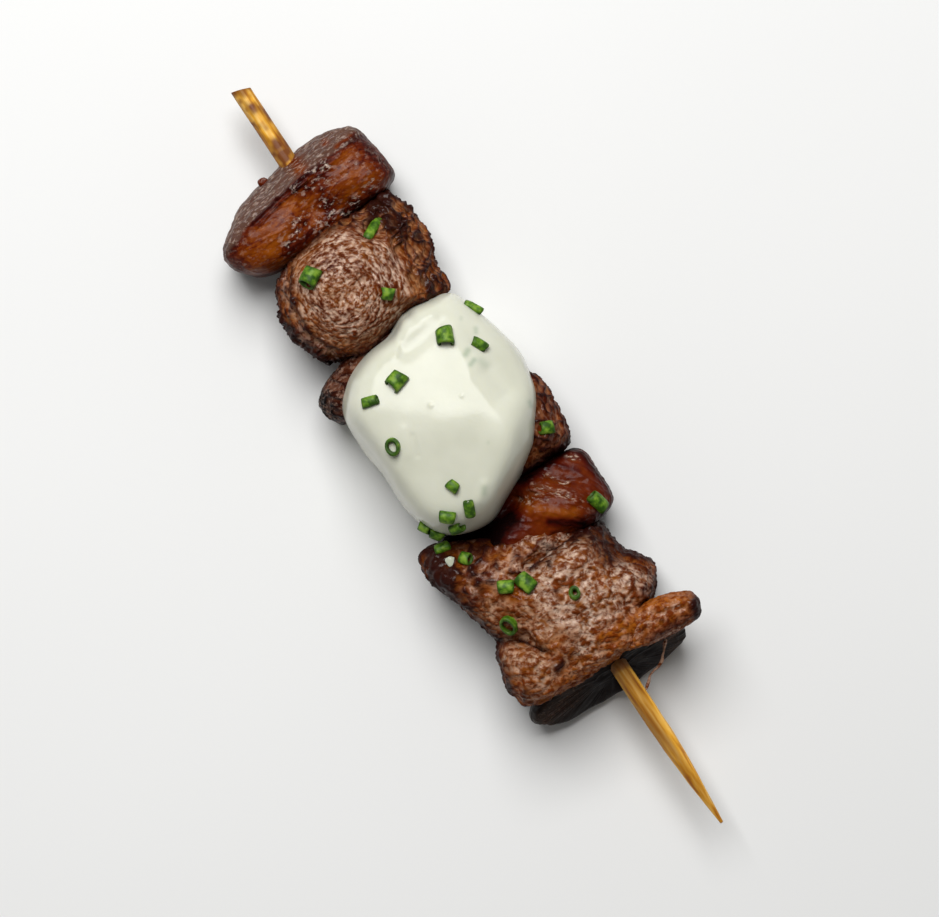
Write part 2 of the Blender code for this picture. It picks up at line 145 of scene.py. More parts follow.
floor_mesh = bpy.data.meshes.new("studio_floor")
half = FLOOR_SIZE / 2
floor_corners = [(-half, -half, 0), (half, -half, 0), (half, half, 0), (-half, half, 0)]
floor_mesh.from_pydata(floor_corners, [], [(0, 1, 2, 3)])
floor = bpy.data.objects.new("studio_floor", floor_mesh)
floor_mesh.materials.append(floor_material())
bpy.context.scene.collection.objects.link(floor)

softbox = bpy.data.objects.new("softbox", bpy.data.lights.new("softbox", "AREA"))
softbox.data.shape = "SQUARE"
softbox.data.size = SOFTBOX_SIZE
softbox.data.energy = SOFTBOX_WATTS
from_above = math.radians(SOFTBOX_FROM_ABOVE_DEG)
towards_box = Vector((*(math.sin(from_above) * b for b in SOFTBOX_BEARING), math.cos(from_above)))
softbox.location = towards_box * SOFTBOX_DISTANCE
softbox.rotation_euler = towards_box.to_track_quat("Z", "Y").to_euler()
bpy.context.scene.collection.objects.link(softbox)

room = bpy.data.worlds.new("pale_room")
room.use_nodes = True
walls = room.node_tree
background = walls.nodes["Background"].inputs
background["Color"].default_value = (1.0, 1.0, 1.0, 1.0)
upward = added(walls, "SeparateXYZ", {"Vector": added(walls, "TexCoord")["Generated"]})["Z"]
strength = {"Value": upward, "From Min": CEILING_EDGES[0], "From Max": CEILING_EDGES[1],
            "To Min": WALL_STRENGTH, "To Max": CEILING_STRENGTH}
walls_to_ceiling = added(walls, "MapRange", strength, interpolation_type="SMOOTHSTEP")["Result"]
walls.links.new(walls_to_ceiling, background["Strength"])
bpy.context.scene.world = room
bpy.context.scene.view_settings.view_transform = "Standard"

# The stick: a round bamboo skewer, split and turned, so its fibres run lengthwise as fine
# grooves. The blunt end is snapped at a slant and browned, the other is shaved to a point.

STICK_RADIUS = (stick_high.z - stick_low.z) / 2 / MM
STICK_END = stick_high.x / MM
STICK_TAPER = 19.0
STICK_TAPER_POWER = 1.6
STICK_TIP_SHARE = 0.17
STICK_SLANT = math.tan(math.radians(18.0))
STICK_ROWS = 700
STICK_COLUMNS = 72


def lattice_value(cells, seed):
    """A steady scattered value from -1 to 1 for each whole-numbered cell corner."""
    key = cells @ np.array([73856093, 19349663, 83492791]) + seed * 2654435761
    for _ in range(2):
        key = key & 0xFFFFFFFF
        key = (key ^ (key >> 16)) * 0x45D9F3B
    return ((key >> 8) & 0xFFFF) / 32767.5 - 1.0


LATTICE = np.array([(x, y, z) for x in (0, 1) for y in (0, 1) for z in (0, 1)])


def eased_corners(points, size, corner_value):
    """Noise in cells of one size: what a function gives for each cell's eight corners, eased.

    The function takes the corners and the way from each corner to its point, in cells. The ease
    is 6t^5 - 15t^4 + 10t^3 of the share of the way across the cell.
    """
    flat = points.reshape(-1, 3) / size
    cells = np.floor(flat).astype(np.int64)
    part = flat - cells
    eased = part**3 * (part * (part * 6 - 15) + 10)
    total = np.zeros(len(flat))
    for corner in LATTICE:
        share = np.prod(np.where(corner == 1, eased, 1 - eased), axis=1)
        total += share * corner_value(cells + corner, part - corner)
    return total.reshape(points.shape[:-1])


def lumps(points, size, seed):
    """Smooth noise from -1 to 1: one scattered value at each corner."""
    return eased_corners(points, size, lambda corners, _: lattice_value(corners, seed))


def smooth_step(low, high, value):
    """0 below low, 1 above high, and 3t^2 - 2t^3 of the share between them."""
    t = np.clip((value - low) / (high - low), 0, 1)
    return t * t * (3 - 2 * t)


def grid_faces(rows, columns, rows_closed):
    """The four corners of each cell of a grid whose columns go round, numbered row by row."""
    row = np.arange(rows if rows_closed else rows - 1)[:, None]
    column = np.arange(columns)[None, :]
    next_row, next_column = (row + 1) % rows, (column + 1) % columns
    corners = [row * columns + column, row * columns + next_column,
               next_row * columns + next_column, next_row * columns + column]
    return np.stack(np.broadcast_arrays(*corners), axis=-1).reshape(-1, 4)


def add_piece(name, points, faces, material, marks, node=None):
    """Makes a piece of the skewer from points in millimetres, with the marks of each point.

    A mark is one value for all points, a value for each, or a place in millimetres for each, at
    which a pattern is read.
    """
    mesh = bpy.data.meshes.new(name)
    mesh.from_pydata(points.reshape(-1, 3) * MM + AXIS, [], faces)
    for mark, values in marks.items():
        if np.shape(values) == points.shape:
            attribute = mesh.attributes.new(mark, "FLOAT_VECTOR", "POINT")
            attribute.data.foreach_set("vector", (values * MM).ravel().astype(np.float32))
        else:
            values = np.broadcast_to(values, points.shape[:-1])
            attribute = mesh.attributes.new(mark, "FLOAT", "POINT")
            attribute.data.foreach_set("value", values.ravel().astype(np.float32))
    mesh.materials.append(material)
    mesh.shade_smooth()
    piece = bpy.data.objects.new(name, mesh)
    bpy.context.scene.collection.objects.link(piece)
    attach(piece, "root")
    if node:
        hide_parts(node)
    return piece


def bamboo_points():
    """The stick's surface, row by row along it.

    The radius is full up to the taper, then falls off as one minus the share to the taper's power.
    Noise stretched along the stick gives the grooves, and the first row lies on the slant.
    """
    share = np.linspace(0, 1, STICK_ROWS - 2)
    x = -STICK_END + 2 * STICK_END * share
    taper = np.clip((x - (STICK_END - STICK_TAPER)) / STICK_TAPER, 0, 1)
    full = STICK_TIP_SHARE + (1 - STICK_TIP_SHARE) * (1 - taper**STICK_TAPER_POWER)
    radius = STICK_RADIUS * full * (0.965 + 0.02 * np.sin(x / 9.0))
    turn = np.linspace(0, 2 * math.pi, STICK_COLUMNS, endpoint=False)
    points = np.empty((len(x), STICK_COLUMNS, 3))
    points[..., 0] = x[:, None]
    points[..., 1] = radius[:, None] * np.cos(turn)
    points[..., 2] = radius[:, None] * np.sin(turn)
    grooves = lumps(points * (0.05, 1.0, 1.0), 0.34, 5) + 0.7 * lumps(points * (0.3, 1.0, 1.0), 0.7, 6)
    points[..., 1:] *= (1 + 0.035 * grooves)[..., None]
    start = -STICK_END + STICK_SLANT * (points[..., 1] + STICK_RADIUS)
    points[..., 0] = np.maximum(points[..., 0], start)
    blunt, tip = (np.broadcast_to(points[row].mean(axis=0), (1, STICK_COLUMNS, 3)) for row in (0, -1))
    return np.concatenate([blunt, points, tip])


def mark_of(tree, name, output="Fac"):
    """The socket of a mark that the piece carries at each of its points."""
    return added(tree, "Attribute", attribute_name=name)[output]


def blended(tree, share, first, second, how="MIX"):
    """A colour socket that goes from the first colour to the second with the share."""
    colours = {"Factor": share, "A": first, "B": second}
    return added(tree, "Mix", colours, data_type="RGBA", blend_type=how)["Result"]


def bumped(tree, *heights, strength=1.0):
    """The normal, tilted by each (height socket, its range in metres), finest first."""
    beneath = {}
    for height, distance in heights:
        tilt = {"Height": height, "Distance": distance, "Strength": strength}
        beneath = {"Normal": added(tree, "Bump", tilt | beneath)["Normal"]}
    return beneath["Normal"]


def bamboo_material():
    """Golden bamboo: brown streaks and pale lines along the grain, and browned ends."""
    material, tree = new_material("bamboo", Roughness=0.45, Specular_IOR_Level=0.25)
    place = added(tree, "TexCoord")["Object"]
    along = added(tree, "Mapping", {"Vector": place, "Scale": (0.10, 1.0, 1.0)})["Vector"]
    lines = added(tree, "TexNoise", {"Vector": along, "Scale": 1500.0, "Detail": 4.0})["Fac"]
    golden = toned(tree, lines, [
        (0.30, (0.34, 0.09, 0.003)), (0.48, (0.74, 0.36, 0.022)), (0.72, (0.92, 0.60, 0.17))])
    patches = added(tree, "TexNoise", {"Vector": along, "Scale": 260.0})["Fac"]
    browned = added(tree, "MapRange", {"Value": patches, "From Min": 0.52, "From Max": 0.74})["Result"]
    either = added(tree, "Math", {0: browned, 1: mark_of(tree, "scorch")}, operation="MAXIMUM")["Value"]
    link_shader(tree, Base_Color=blended(tree, either, golden, (0.15, 0.042, 0.005, 1.0)),
                Normal=bumped(tree, (lines, 0.0003), strength=0.35))
    return material


# Distances from the blunt end: the cut is scorched, the bare stretch before the food browned in
# patches, and the stick dark inside the food and a little at the point.
stick_points = bamboo_points()
from_blunt = stick_points[..., 0] + STICK_END
browned = 0.62 + 0.6 * lumps(stick_points, 2.2, 8) + 0.45 * lumps(stick_points, 0.8, 9)
browned += 0.25 * smooth_step(8.0, 13.0, from_blunt)
scorch = np.maximum.reduce([
    0.9 * smooth_step(2.6, 0.2, from_blunt + 0.8 * lumps(stick_points, 1.2, 7)),
    browned * smooth_step(40.0, 20.0, from_blunt),
    0.9 * smooth_step(108.6, 106.6, from_blunt) * smooth_step(30.0, 40.0, from_blunt),
    0.5 * smooth_step(133.0, 135.2, from_blunt)])
add_piece("bamboo_stick", stick_points, grid_faces(STICK_ROWS, STICK_COLUMNS, False),
          bamboo_material(), {"scorch": scorch}, "stick")

# The first date: a soft date pressed against the meat. Its glazed face is smooth but for two
# long grooves and a pinched middle with beads and painted glints, and a dull thin flank faces
# the blunt end, with a painted sheen of reflected light on it.

BORE = STICK_RADIUS - 0.24
LONG_WRINKLES = (1.0, 0.22, 0.8)
EVEN = (1.0, 1.0, 1.0)
CUT_EDGE = 12.0

DATE_1 = {
    "grid": (260, 340), "centre": (-48.0, -2.0, -1.6),
    "outline": [(-55.3, 4.5), (-54.5, 8.6), (-52.7, 11.6), (-49.6, 12.4), (-45.6, 12.8), (-42.9, 12.1),
                (-41.8, 6.0), (-41.0, -2.0), (-40.6, -9.0), (-42.4, -14.2), (-46.6, -16.4),
                (-50.4, -12.8), (-52.9, -8.8), (-54.1, -2.0)],
    "top": 7.4, "base": -8.2, "foot": 1.5, "squareness": 3.8,
    "cuts": [((0.10, 0.0, 0.995), 8.5), ((-0.88, -0.12, 0.45), 5.9)],
    "folds": [((-45.4, -1.0), (-42.6, 3.4), 2.0, -1.1), ((-45.0, -6.0), (-44.5, -11.5), 3.2, 0.8),
              ((-46.4, 6.0), (-45.8, 10.0), 2.6, 0.6), ((-50.2, 7.0), (-49.6, -1.0), 0.9, 0.35)],
    "relief": [(LONG_WRINKLES, 3.2, 0.22, 11), (EVEN, 4.5, 0.25, 12)],
}


def outline_reach(angles, outline, centre):
    """Distance from the centre to the outline in each direction.

    The outline is the Catmull-Rom curve through its points: a closed smooth curve whose slope
    at each point is that of the line between its two neighbours.
    """
    here = np.array(outline, float) - centre
    before, after, beyond = (np.roll(here, turn, axis=0) for turn in (1, -1, -2))
    t = np.linspace(0, 1, 12, endpoint=False)[:, None, None]
    curve = (
        here
        + (after - before) / 2 * t
        + (before - 2.5 * here + 2 * after - 0.5 * beyond) * t**2
        + (1.5 * here - 0.5 * before - 1.5 * after + 0.5 * beyond) * t**3
    ).reshape(-1, 2)
    bearings = np.arctan2(curve[:, 1], curve[:, 0])
    order = np.argsort(bearings)
    reach = np.hypot(curve[:, 0], curve[:, 1])
    return np.interp(angles, bearings[order], reach[order], period=2 * math.pi)


def lump_reach(directions, form):
    """Distance from the lump's centre to its skin: one over the p-norm of what stops it there.

    What stops it is first the outline seen from above, the top and the base, with the form's
    squareness as the power, and then all that and the flat cuts, with the form's edge as the
    power, or CUT_EDGE.
    """
    centre = np.array(form["centre"], float)
    squareness, edge = form["squareness"], form.get("edge", CUT_EDGE)
    flat = np.hypot(directions[..., 0], directions[..., 1])
    around = np.arctan2(directions[..., 1], directions[..., 0])
    stops = (flat / outline_reach(around, form["outline"], centre[:2])) ** squareness
    up = np.maximum(directions[..., 2], 0) / (form["top"] - centre[2])
    down = np.maximum(-directions[..., 2], 0) / (centre[2] - form["base"] + form["foot"])
    stops += up**squareness + down**squareness
    stops **= edge / squareness
    for normal, distance in form.get("cuts", ()):
        normal = np.array(normal, float) / np.linalg.norm(normal)
        stops += (np.maximum(directions @ normal, 0) / distance) ** edge
    return stops ** (-1 / edge)


def streaks(points, lines):
    """The sum of soft lines seen from above, each its amount times a bell of the distance to it.

    A line is its start, its end, its width and its amount.
    """
    total = np.zeros(points.shape[:-1])
    for start, end, width, amount in lines:
        start, along = np.array(start, float), np.subtract(end, start)
        share = np.clip((points[..., :2] - start) @ along / max(along @ along, 1e-9), 0, 1)
        distance = np.linalg.norm(points[..., :2] - start - share[..., None] * along, axis=-1)
        total += amount * np.exp(-((distance / width) ** 2))
    return total


def rays(form, along, turn, origin, end_axis):
    """Skin points for angles from one end axis to the other (along) and round it (turn).

    Each ray leaves the origin, and its length is corrected until it ends on the lump's skin.
    """
    one_end = np.cos(along)[:, None] * np.ones_like(turn)
    aside = np.sin(along)[:, None] * np.cos(turn)
    up = np.sin(along)[:, None] * np.sin(turn)
    directions = np.stack([one_end, aside, up] if end_axis == 0 else [-aside, one_end, up], axis=-1)
    centre = np.array(form["centre"], float)
    length = lump_reach(directions, form)
    for _ in range(14):
        away = origin + length[..., None] * directions - centre
        distance = np.linalg.norm(away, axis=-1)
        length = length * lump_reach(away / distance[..., None], form) / distance
    return origin + length[..., None] * directions


def even_steps(values, lengths, count):
    """Picks count values so that equal shares of the length lie between them."""
    covered = np.concatenate([[0], np.cumsum(lengths)])
    return np.interp(np.linspace(0, covered[-1], count), covered, values)


def lump_points(form, bored=True, end_axis=0):
    """The lump's skin on the form's grid: rows from the pointed side to the blunt side, columns round it.

    The rows and columns are spread by the mean length between them, the columns twice as close
    on top. Folds move the top up or down by their rise times a bell of the distance to their
    line, and relief moves the skin out.
    """
    rows, columns = form["grid"]
    centre = np.array(form["centre"], float)
    origin = np.array([centre[0], 0.0, 0.0]) if bored else centre
    along = np.linspace(0.02, math.pi - 0.02, 90)
    turn = np.linspace(0, 2 * math.pi, 121)
    rough = rays(form, along, turn, origin, end_axis)
    if bored:
        reach = np.hypot(rough[..., 1], rough[..., 2]).mean(axis=1)
        outside = np.flatnonzero(reach > BORE)
        along = along[outside[0]:outside[-1] + 1]
        rough = rough[outside[0]:outside[-1] + 1]
    row_lengths = np.linalg.norm(np.diff(rough, axis=0), axis=-1).mean(axis=1)
    column_lengths = np.linalg.norm(np.diff(rough, axis=1), axis=-1).mean(axis=0)
    column_lengths *= 1 + (rough[:, 1:, 2].mean(axis=0) > 0)
    along = even_steps(along, row_lengths, rows)
    turn = even_steps(turn, column_lengths, columns + 1)[:-1]
    points = rays(form, along, turn, origin, end_axis)
    height = np.clip((points[..., 2] - centre[2]) / (form["top"] - centre[2]), 0, 1)
    points[..., 2] += streaks(points, form.get("folds", ())) * height
    directions = points - centre
    directions /= np.linalg.norm(directions, axis=-1)[..., None]
    for stretch, size, depth, seed in form.get("relief", ()):
        points = points + directions * (lumps(points * stretch, size, seed) * depth)[..., None]
    return points


def raised(points, relief):
    """The grid moved along its outward normals, which are the cross product of its two slopes."""
    down = np.gradient(points, axis=0)
    around = (np.roll(points, -1, axis=1) - np.roll(points, 1, axis=1)) / 2
    across = np.cross(around, down)
    normals = across / np.maximum(np.linalg.norm(across, axis=-1), 1e-12)[..., None]
    return points + normals * relief[..., None]


def seat(points, form, bored=True):
    """Flattens the underside on its base, and keeps the skin off the stick's bore."""
    points[..., 2] = np.maximum(points[..., 2], form["base"])
    if bored:
        reach = np.hypot(points[..., 1], points[..., 2])
        wanted = np.maximum(reach, BORE)
        wanted[[0, -1]] = BORE
        points[..., 1:] *= (wanted / reach)[..., None]
    return points


def keep_clear(points, form, gap):
    """Pushes what lies inside a neighbour's lump out to that lump's skin plus the gap."""
    away = points - np.array(form["centre"], float)
    distance = np.linalg.norm(away, axis=-1)
    least = lump_reach(away / distance[..., None], form) + gap
    return points + away * (np.maximum(least / distance, 1) - 1)[..., None]


def turned_points(points, degrees):
    """The points turned about the upright axis, so that noise stretched along x runs at a slant."""
    c, s = math.cos(math.radians(degrees)), math.sin(math.radians(degrees))
    x, y, z = np.moveaxis(points, -1, 0)
    return np.stack([c * x + s * y, c * y - s * x, z], axis=-1)


def crinkle(points, size, seed):
    """Noise from about -1 to 1 with sharper detail than lumps, and no grain along the axes.

    Each cell corner has a slope of its own, and the heights on the eight slopes are eased into
    each other. The points are turned twice first, so that the cells lie askew.
    """
    def height_on_slope(corners, away):
        slope = np.stack([lattice_value(corners, 3 * seed + axis) for axis in range(3)], axis=-1)
        return (away * slope).sum(axis=1)

    askew = turned_points(points, 31.0 + 17.0 * seed)[..., [1, 2, 0]]
    return 1.9 * eased_corners(turned_points(askew, 57.0), size, height_on_slope)


def warped(points, size, amount, seed):
    """The points, each shifted by smooth noise in x, y and z, so that a pattern on them winds."""
    shift = np.stack([lumps(points, size, seed + turn) for turn in range(3)], axis=-1)
    return points + amount * shift


def creases(points, size, seed):
    """0 to 1, with thin winding valleys: the size of the noise, which is 0 along its zero lines."""
    return np.clip(np.abs(crinkle(points, size, seed)) * 2.2, 0, 1)


def new_group(name, inputs, outputs):
    """A node group with sockets of the given kinds, what it is given, and what it puts out."""
    group = bpy.data.node_groups.new(name, "ShaderNodeTree")
    for side, sockets in (("INPUT", inputs), ("OUTPUT", outputs)):
        for socket, kind in sockets.items():
            group.interface.new_socket(socket, in_out=side, socket_type="NodeSocket" + kind)
    return group, group.nodes.new("NodeGroupInput").outputs, group.nodes.new("NodeGroupOutput").inputs


def juices_group():
    """Glaze that pools unevenly: puts out a mask, and a colour that is darker where it is thick."""
    group, given, result = new_group("juices", {"Color": "Color", "Scale": "Float", "Depth": "Float"},
                                     {"Color": "Color", "Mask": "Float"})
    pools = added(group, "TexNoise", {"Vector": added(group, "TexCoord")["Object"], "Scale": given["Scale"],
                                      "Detail": 5.0, "Roughness": 0.62})["Fac"]
    spread = added(group, "MapRange", {"Value": pools, "From Min": 0.38, "From Max": 0.64})["Result"]
    amount = added(group, "Math", {0: spread, 1: given["Depth"]}, operation="MULTIPLY")["Value"]
    shade = blended(group, amount, given["Color"], (0.48, 0.30, 0.22, 1.0), "MULTIPLY")
    group.links.new(shade, result["Color"])
    group.links.new(spread, result["Mask"])
    return group


def beads_group():
    """Fine beads of fibre ends: puts out their height, and a colour that is deeper between them.

    Place is where the noise is read, so that the beads can follow the fibres. From and To are
    the noise at their feet and on their tops. Lit is the colour of a painted highlight on the
    tops, and the deeper colour between them is painted shade.
    """
    group, given, result = new_group(
        "beads", {"Color": "Color", "Lit": "Color", "Amount": "Float", "Place": "Vector", "Scale": "Float",
                  "From": "Float", "To": "Float"}, {"Color": "Color", "Height": "Float"})
    noise = added(group, "TexNoise", {"Vector": given["Place"], "Scale": given["Scale"],
                                      "Detail": 3.0, "Roughness": 0.62})["Fac"]
    edges = {"Value": noise, "From Min": given["From"], "From Max": given["To"]}
    height = added(group, "MapRange", edges, interpolation_type="SMOOTHSTEP")["Result"]
    deep = blended(group, 1.0, given["Color"], (0.52, 0.32, 0.20, 1.0), "MULTIPLY")
    beaded = blended(group, height, deep, given["Lit"])
    group.links.new(blended(group, given["Amount"], given["Color"], beaded), result["Color"])
    rise = added(group, "Math", {0: height, 1: given["Amount"]}, operation="MULTIPLY")["Value"]
    group.links.new(rise, result["Height"])
    return group


juices = juices_group()
beads = beads_group()


def ranged(tree, value, low, high):
    """A socket that runs from low to high as the value goes from 0 to 1."""
    return added(tree, "MapRange", {"Value": value, "To Min": low, "To Max": high})["Result"]


def marked(tree, base, mark, colour):
    """The base colour, mixed towards another one by a mark."""
    return blended(tree, mark_of(tree, mark), base, (*colour, 1.0))


def date_material(name, colours, bloom_and_sheen, glints, gloss):
    """Sticky date skin: translucent red-brown under a clear glaze, beaded where it is pinched.

    colours runs from the painted shade of the hollows to the painted light on the ridges. The dull
    colour is the thin skin, with a painted sheen of reflected light on it; glints is the colour of
    a painted highlight on top of the beads; and gloss is the weight of the glaze where it pools.
    """
    material, tree = new_material(name, Subsurface_Weight=0.08, Subsurface_Radius=(1.0, 0.25, 0.05),
                                  Subsurface_Scale=0.0010, Specular_IOR_Level=0.05, Coat_Roughness=0.10)
    skin = marked(tree, toned(tree, mark_of(tree, "tone"), colours), "bloom_and_sheen", bloom_and_sheen)
    glaze = added(tree, "Group", {"Color": skin, "Scale": 420.0, "Depth": 0.35}, node_tree=juices)
    beading = added(tree, "Group", {
        "Color": glaze["Color"], "Lit": (*glints, 1.0), "Amount": mark_of(tree, "beaded"), "Scale": 1700.0,
        "Place": mark_of(tree, "grain", "Vector"), "From": 0.50, "To": 0.66}, node_tree=beads)
    link_shader(tree, Base_Color=beading["Color"],
                Roughness=ranged(tree, glaze["Mask"], 0.50, 0.30),
                Coat_Weight=ranged(tree, glaze["Mask"], 0.02, gloss),
                Normal=bumped(tree, (noise_over(tree, 1700.0), 0.00005), (beading["Height"], 0.00016)))
    return material


def date_relief(points, seed, depth, stretch=(1.0, 0.30, 0.9)):
    """Fine wrinkles of a date: thin creases along it and small lumps, from -depth to depth."""
    bent = warped(points, 3.0, 0.5, seed) * stretch
    return depth * (0.9 * creases(bent, 1.5, seed) + 0.35 * crinkle(bent * 2.0, 1.1, seed + 1) - 0.5)


NEIGHBOUR_GAP = 0.1


def add_lump(name, node, form, points, relief, material, marks, bored=True, clear_of=None):
    """Makes a piece from a lump's skin, raised by its relief, clear of a neighbour, and seated."""
    skin = raised(points, relief)
    if clear_of:
        skin = keep_clear(skin, clear_of, NEIGHBOUR_GAP)
    faces = grid_faces(*relief.shape, True)
    return add_piece(name, seat(skin, form, bored), faces, material, marks, node)


# y, x along the border between the face and the flank
DATE_1_SHOULDER = [(-16.0, -46.4), (-13.0, -47.6), (-9.0, -48.9), (0.0, -50.3), (11.0, -50.9)]
DATE_1_GROOVES = [((-50.3, 1.5), (-49.6, -4.5), 0.26, -0.30), ((-49.6, -4.5), (-48.6, -9.6), 0.26, -0.30),
                  ((-49.5, 0.8), (-48.8, -4.4), 0.22, -0.26), ((-48.8, -4.4), (-47.7, -9.2), 0.22, -0.26),
                  ((-42.2, 10.8), (-42.8, 6.0), 0.5, -0.3), ((-45.4, 9.2), (-44.6, 7.0), 0.3, -0.16)]
# Dark lines along the date's rims, in the crevice against the meat and below the pinch: painted shade, and
# the darker skin of the rims.
DATE_1_EDGE_SHADE = [((-50.4, 11.6), (-43.0, 12.4), 1.5, 1.0), ((-50.8, 10.2), (-50.3, 3.0), 0.5, 0.9),
                ((-50.3, 3.0), (-48.9, -8.0), 0.5, 0.8), ((-48.9, -8.0), (-46.8, -14.4), 0.6, 0.7),
                ((-41.8, 11.4), (-42.0, 3.0), 0.7, 0.8), ((-42.4, -2.6), (-41.6, -7.4), 0.7, 0.9),
                ((-47.8, -15.4), (-43.0, -15.6), 1.3, 0.9), ((-47.0, 1.8), (-43.0, 1.0), 1.3, 0.55),
                ((-48.6, 4.6), (-48.2, -1.0), 0.9, 0.4)]
# Where the beads stand: their tops carry painted glints.
DATE_1_BEADS = [((-49.6, 4.2), (-49.0, -1.2), 1.1, 1.0), ((-47.6, 3.6), (-47.2, -1.8), 0.5, 0.5),
                ((-44.6, 1.6), (-42.0, -0.6), 1.5, 1.0), ((-45.4, -2.6), (-43.6, -4.8), 0.8, 0.9),
                ((-43.6, 9.4), (-43.0, 4.8), 0.6, 0.9), ((-42.4, 5.6), (-42.2, 2.6), 0.5, 0.9),
                ((-43.2, -5.0), (-42.2, -8.6), 0.6, 0.8), ((-47.2, 8.6), (-47.0, 6.6), 0.3, 0.6)]
# x, y, radius and rise of the largest beads, which carry painted glints
DATE_1_DROPS = [(-43.8, -3.0, 0.42, 0.5), (-45.1, -4.4, 0.30, 0.3), (-44.0, 0.9, 0.30, 0.3),
                (-42.6, 7.8, 0.26, 0.25), (-47.3, 5.9, 0.24, 0.2)]
DATE_1_RED_SPOTS = [((-53.4, 6.6), (-52.8, 6.6), 0.45, 0.8), ((-51.5, 10.8), (-51.3, 7.4), 0.35, 0.9),
                    ((-53.0, 6.0), (-52.6, 6.2), 0.35, 0.6), ((-53.9, 0.6), (-51.4, 1.0), 1.1, 1.0),
                    ((-52.9, -9.6), (-51.6, -12.0), 0.3, 0.7), ((-48.8, -15.2), (-47.2, -15.8), 0.4, 0.8)]

date_1_points = lump_points(DATE_1)
x, y, z = np.moveaxis(date_1_points, -1, 0)
shoulder = np.interp(y, *zip(*DATE_1_SHOULDER)) + 0.3 * lumps(date_1_points, 1.6, 104)
flank = smooth_step(0.25, -0.35, x - shoulder)
drop = streaks(date_1_points, [((x, y), (x, y), radius, rise) for x, y, radius, rise in DATE_1_DROPS])
grain, stretched = date_1_points * (1.0, 0.6, 1.0), date_1_points * (1.0, 0.35, 1.0)
beaded = streaks(date_1_points, DATE_1_BEADS) + 0.25 * lumps(date_1_points * (1.0, 0.5, 1.0), 1.2, 109)
beaded = np.clip(beaded * (0.75 + 0.6 * lumps(date_1_points, 0.9, 110)), 0, 1)
relief = date_relief(date_1_points, 101, 0.08) + streaks(date_1_points, DATE_1_GROOVES) + drop
relief += 0.26 * beaded * crinkle(grain, 0.75, 106)
relief += 0.16 * flank * crinkle(date_1_points * (1.0, 0.7, 1.0), 1.2, 107)
# The tone is painted shade in part: darker in the grooves and hollows, along the shaded rims and low down
# towards the floor. Its noise and fine crinkles are the skin's own mottling.
tone = 0.84 - 0.62 * streaks(date_1_points, DATE_1_EDGE_SHADE) + 1.1 * np.minimum(relief, 0.0)
tone += 0.20 * lumps(date_1_points * (1.0, 0.5, 1.0), 1.7, 108) - 0.6 * smooth_step(2.5, -2.0, z)
tone -= 0.16 * smooth_step(-47.0, -50.0, x)
tone += 0.24 * crinkle(stretched, 0.5, 111) + 0.14 * crinkle(date_1_points, 0.3, 112)
tone -= 0.34 * smooth_step(0.30, 0.0, creases(stretched, 1.1, 113)) * (1 - flank)
date_skin = date_material(
    "date_skin", [(0.0, (0.030, 0.002, 0.001)), (0.40, (0.092, 0.010, 0.001)),
                  (0.70, (0.155, 0.028, 0.001)), (1.0, (0.225, 0.053, 0.002))],
    bloom_and_sheen=(0.104, 0.058, 0.044), glints=(0.52, 0.41, 0.34), gloss=0.10)
add_lump(
    "date_1_skin", "date_1", DATE_1, date_1_points, relief, date_skin,
    {"tone": np.clip(tone - 0.18 * beaded, 0, 1), "grain": grain,
     "bloom_and_sheen": np.clip(0.9 * flank - streaks(date_1_points, DATE_1_RED_SPOTS), 0, 1),
     "beaded": np.clip(0.85 * beaded + 0.24 * flank + 0.08 + 2.0 * drop, 0, 1)})

# The first piece of fillet: a seared cube sliced across the grain. Its round face there is paler
# and shows the ends of the fibres, with painted glints on their tops, and a dark crust runs along
# its far side and round its lower rim, where a greyish band is a painted highlight.

FILLET_1 = {
    "grid": (270, 350), "centre": (-32.3, -1.0, 0.0),
    "outline": [(-24.4, 2.0), (-23.8, 6.5), (-24.0, 10.0), (-28.0, 10.4), (-32.0, 11.8), (-36.0, 11.5),
                (-40.4, 10.7), (-41.6, 7.2), (-41.4, -3.0), (-40.6, -9.0), (-38.6, -12.2), (-34.0, -13.8),
                (-29.0, -13.2), (-25.0, -11.2), (-23.0, -5.5)],
    "top": 9.8, "base": -9.0, "foot": 1.5, "squareness": 3.2,
    "cuts": [((0.0, 0.62, 0.78), 10.6)],
    "folds": [((-33.0, -2.5), (-31.0, -2.5), 7.0, 1.2), ((-40.0, 7.0), (-38.2, 5.0), 1.8, -2.6),
              ((-37.4, 4.6), (-33.0, 6.6), 1.2, -0.9), ((-33.0, 6.6), (-27.4, 5.4), 1.2, -0.9)],
    "relief": [(EVEN, 5.2, 0.5, 21), (EVEN, 2.6, 0.3, 22)],
}


def fibre_ends(points, size, seed, stretch=EVEN):
    """Height from 0 to 1 of bundles of fibre ends: two sizes of noise on winding coordinates."""
    bent = warped(points, 2.4, 0.45, seed) * stretch
    lumpy = 0.62 * crinkle(bent, size, seed) + 0.42 * crinkle(bent, size * 0.52, seed + 1)
    return np.clip(0.5 + lumpy, 0, 1)


def crags(points, size, seed):
    """Height from 0 to 1 of a seared crust: broken lumps parted by thin cracks."""
    bent = warped(points, 2.8, 0.9, seed)
    broken = 0.72 * creases(bent, size, seed) + 0.30 * crinkle(bent, size * 0.45, seed + 1)
    return np.clip(broken + 0.18, 0, 1)


